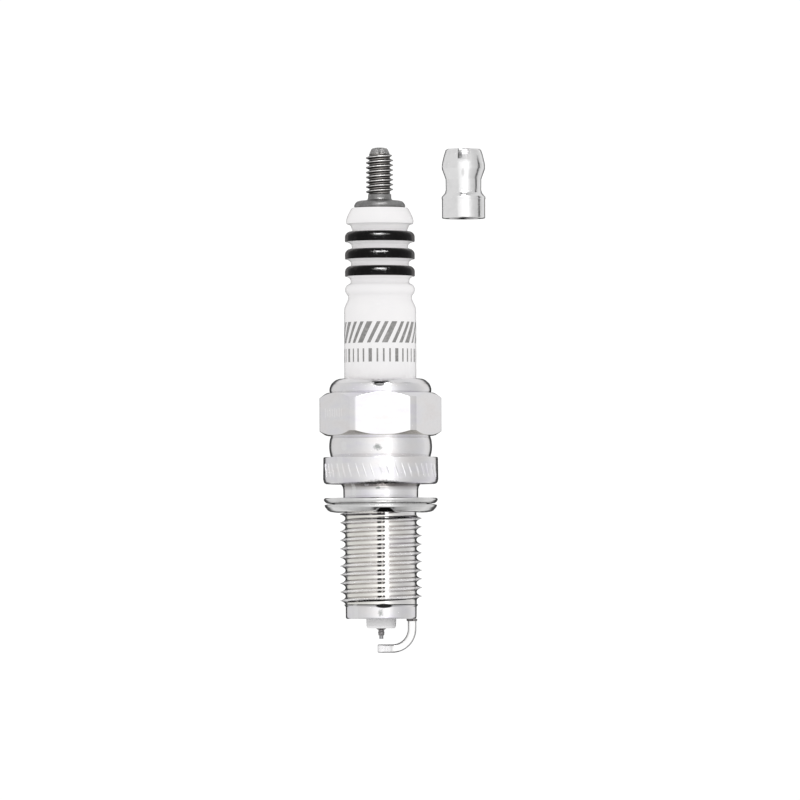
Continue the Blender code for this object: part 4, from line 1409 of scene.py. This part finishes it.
def studio_light(sky):
    """Brightness of the studio as reflections see it."""
    dx, dy, dz = sky.split(sky.output(sky.new("ShaderNodeTexCoord"), "Generated"))
    azimuth = sky.math("ARCTAN2", dx, dy * -1.0) * (180.0 / math.pi)
    elevation = sky.math("ARCSINE", dz) * (180.0 / math.pi)

    def fade(value, span, to=(0.0, 1.0)):
        return sky.remap(value, span, to, curve="SMOOTHSTEP")

    def band(value, a, b, c, d):
        """1 between b and c, fading to 0 at a and d."""
        return fade(value, (a, b)) * fade(value, (c, d), to=FADE_OUT)

    def over_elevation(stops):
        return sky.ramp(elevation / 180.0 + 0.5, [((e + 90.0) / 180.0, v) for e, v in stops])

    around = sky.ramp(
        azimuth / 360.0 + 0.5,
        [((a + 180.0) / 360.0, v / AROUND_SCALE) for a, v in AROUND]) * AROUND_SCALE
    ahead = around * over_elevation(AHEAD)
    behind = over_elevation(BEHIND)
    # How far the direction is turned from the camera. High and low ones count as further.
    steep = sky.math("MAXIMUM", abs(elevation) - 20.0, 0.0)
    away = fade(abs(azimuth) + steep * 0.9, (142.0, 152.0))
    light = ahead * (1.0 - away) + behind * away
    # A tall bright strip to the right of the camera and a lamp high above it.
    strip = band(azimuth, 10.0, 15.0, 22.0, 29.0) * band(elevation, -62.0, -48.0, 50.0, 64.0)
    light = light + strip * 0.30
    lamp = band(azimuth, -16.0, -10.0, 22.0, 30.0) * band(elevation, 42.0, 46.0, 61.0, 65.0)
    light = light + lamp * 8.0
    # Dark gaps: a small one overhead and a longer one under the plug.
    high = dz + fade(dy, (-0.25, -0.05), to=FADE_OUT) * 0.045
    overhead = fade(high, (0.966, 0.981)) * band(dx, -0.20, -0.13, 0.13, 0.20)
    low = dz - fade(dy, (-0.05, 0.10)) * 0.15
    under = fade(low, (-0.955, -0.90), to=FADE_OUT) * band(dx, -0.20, -0.12, 0.22, 0.30)
    return light * (1.0 - sky.math("MAXIMUM", overhead, under) * 0.94)


def build_world():
    world = bpy.data.worlds.new("studio")
    scene.world = world
    sky = Graph(world)
    light = studio_light(sky)
    reflected = sky.new("ShaderNodeCombineColor")
    for i in range(3):
        sky.put(light, reflected.inputs[i])
    rays = sky.new("ShaderNodeLightPath")
    plain_rays = sky.math(
        "MAXIMUM", sky.output(rays, "Is Camera Ray"), sky.output(rays, "Is Diffuse Ray"))
    background = sky.new("ShaderNodeBackground")
    color = sky.mix(plain_rays, sky.output(reflected), BACKDROP)
    sky.put(color, background.inputs["Color"])
    sky.put(1.0, background.inputs["Strength"])
    out = sky.new("ShaderNodeOutputWorld")
    sky.put(sky.output(background), out.inputs[0])
    world.cycles.sampling_method = "NONE"


build_world()


# ====================================================================== lights
def area(name, location, target, size, power, glossy):
    """An area light, in metres and watts, hidden from the camera."""
    data = bpy.data.lights.new(name, "AREA")
    data.shape = "RECTANGLE"
    data.size, data.size_y = size
    data.energy = power
    obj = link_new(name, data)
    obj.location = location
    direction = Vector(target) - Vector(location)
    obj.rotation_euler = direction.to_track_quat("-Z", "Y").to_euler()
    obj.visible_camera = False
    obj.visible_glossy = glossy
    return obj


area("key_softbox", location=(0.28, -0.75, SEAT + 0.30), target=(0, 0, SEAT),
     size=(0.5, 0.6), power=0.9, glossy=False)

# A small lamp high in front that lights only the black glaze and makes its highlight.
glint = area("glint_lamp", location=(0.012, -0.29, SEAT + 0.035 + 0.25),
             target=(0, 0, SEAT + 0.035), size=(0.20, 0.20), power=24.0, glossy=True)
glint.visible_diffuse = False
glazed = bpy.data.collections.new("black_glaze_only")
for black_band in black_bands:
    glazed.objects.link(black_band)
glint.light_linking.receiver_collection = glazed

# The dark pieces stay out of the bright pieces' reflections.
for dark_piece in (printed, *black_bands):
    dark_piece.visible_glossy = False


# ====================================================================== cards and floor
def reflection_card(name, size, location, material, turn=0.0):
    """A card that only reflections see: size in mm, location in metres, turn in degrees."""
    card = block(name, size)
    card.location = location
    card.rotation_euler = (0.0, 0.0, math.radians(turn))
    card.data.materials.append(material)
    card.visible_camera = False
    card.visible_diffuse = False
    card.visible_shadow = False


def dark_card_material():
    material = bpy.data.materials.new("card_dark")
    material.use_nodes = True
    bsdf = material.node_tree.nodes["Principled BSDF"]
    bsdf.inputs["Base Color"].default_value = (0.03, 0.03, 0.03, 1)
    return material


def pale_card_material():
    material = bpy.data.materials.new("card_pale")
    graph = Graph(material)
    out = graph.new("ShaderNodeOutputMaterial")
    glow = graph.new("ShaderNodeEmission")
    graph.put(0.80, glow.inputs["Strength"])
    graph.put(graph.output(glow), out.inputs["Surface"])
    return material


def floor_material():
    """Matte near the plug, brightening into the backdrop further out so no edge shows."""
    material = bpy.data.materials.new("floor_pale")
    graph = Graph(material)
    out = graph.new("ShaderNodeOutputMaterial")
    mixer = graph.new("ShaderNodeMixShader")
    glow = graph.new("ShaderNodeEmission")
    graph.put(1, glow.inputs["Color"])
    graph.put(BACKDROP, glow.inputs["Strength"])
    matte = graph.new("ShaderNodeBsdfDiffuse")
    graph.put(0.90, matte.inputs["Color"])
    coord = graph.new("ShaderNodeTexCoord")
    distance = graph.new("ShaderNodeVectorMath", operation="LENGTH")
    graph.put(graph.output(coord, "Object"), distance.inputs[0])
    # Distance in metres from the floor's middle, to the share of glow.
    share = graph.remap(
        graph.output(distance, "Value"), (0.06, 0.22), to=(0.35, 1.0), curve="SMOOTHSTEP")
    graph.put(share, mixer.inputs[0])
    graph.put(graph.output(matte), mixer.inputs[1])
    graph.put(graph.output(glow), mixer.inputs[2])
    graph.put(graph.output(mixer), out.inputs["Surface"])
    return material


def build_floor():
    mesh = bpy.data.meshes.new("floor")
    bm = bmesh.new()
    bmesh.ops.create_circle(bm, cap_ends=True, radius=3.0, segments=96)
    bm.to_mesh(mesh)
    bm.free()
    floor = link_new("floor", mesh)
    floor.location.z = cad_lo.z - 0.025
    mesh.materials.append(floor_material())
    floor.visible_glossy = False
    floor.visible_diffuse = False


# A narrow dark card to the right of the nut.
CARD_AZIMUTH = 81.0    # degrees from the front, round the nut
CARD_DISTANCE = 12.0
card_angle = math.radians(CARD_AZIMUTH)
reflection_card(
    "dark_card", size=(2.6, 0.2, 15.0), material=dark_card_material(), turn=CARD_AZIMUTH,
    location=((NUT_X + CARD_DISTANCE * math.sin(card_angle)) * MM,
              -CARD_DISTANCE * math.cos(card_angle) * MM,
              SEAT + (NUT_Z + 5.2) * MM))

# A pale card between the plug and the nut.
reflection_card(
    "fill_card", size=(0.1, 10.0, 34.0), material=pale_card_material(),
    location=((NUT_X - 4.6) * MM, -4.0 * MM, SEAT + (NUT_Z + 1.0) * MM))

build_floor()


# ====================================================================== camera
def build_camera():
    """A long lens in front of the plug, looking along +Y with a slight tilt and roll."""
    data = bpy.data.cameras.new("camera")
    data.sensor_width = 36.0
    data.lens = 342.0
    data.clip_start, data.clip_end = 0.05, 10.0
    camera = link_new("camera", data)
    camera.location = (0.00283, -1.098, SEAT - 0.01676)
    camera.rotation_mode = "XYZ"
    tilt = Matrix.Rotation(math.radians(91.507), 4, "X")
    roll = Matrix.Rotation(math.radians(-0.22), 4, "Z")
    camera.rotation_euler = (tilt @ roll).to_euler("XYZ")
    scene.camera = camera


build_camera()

bpy.context.view_layer.update()
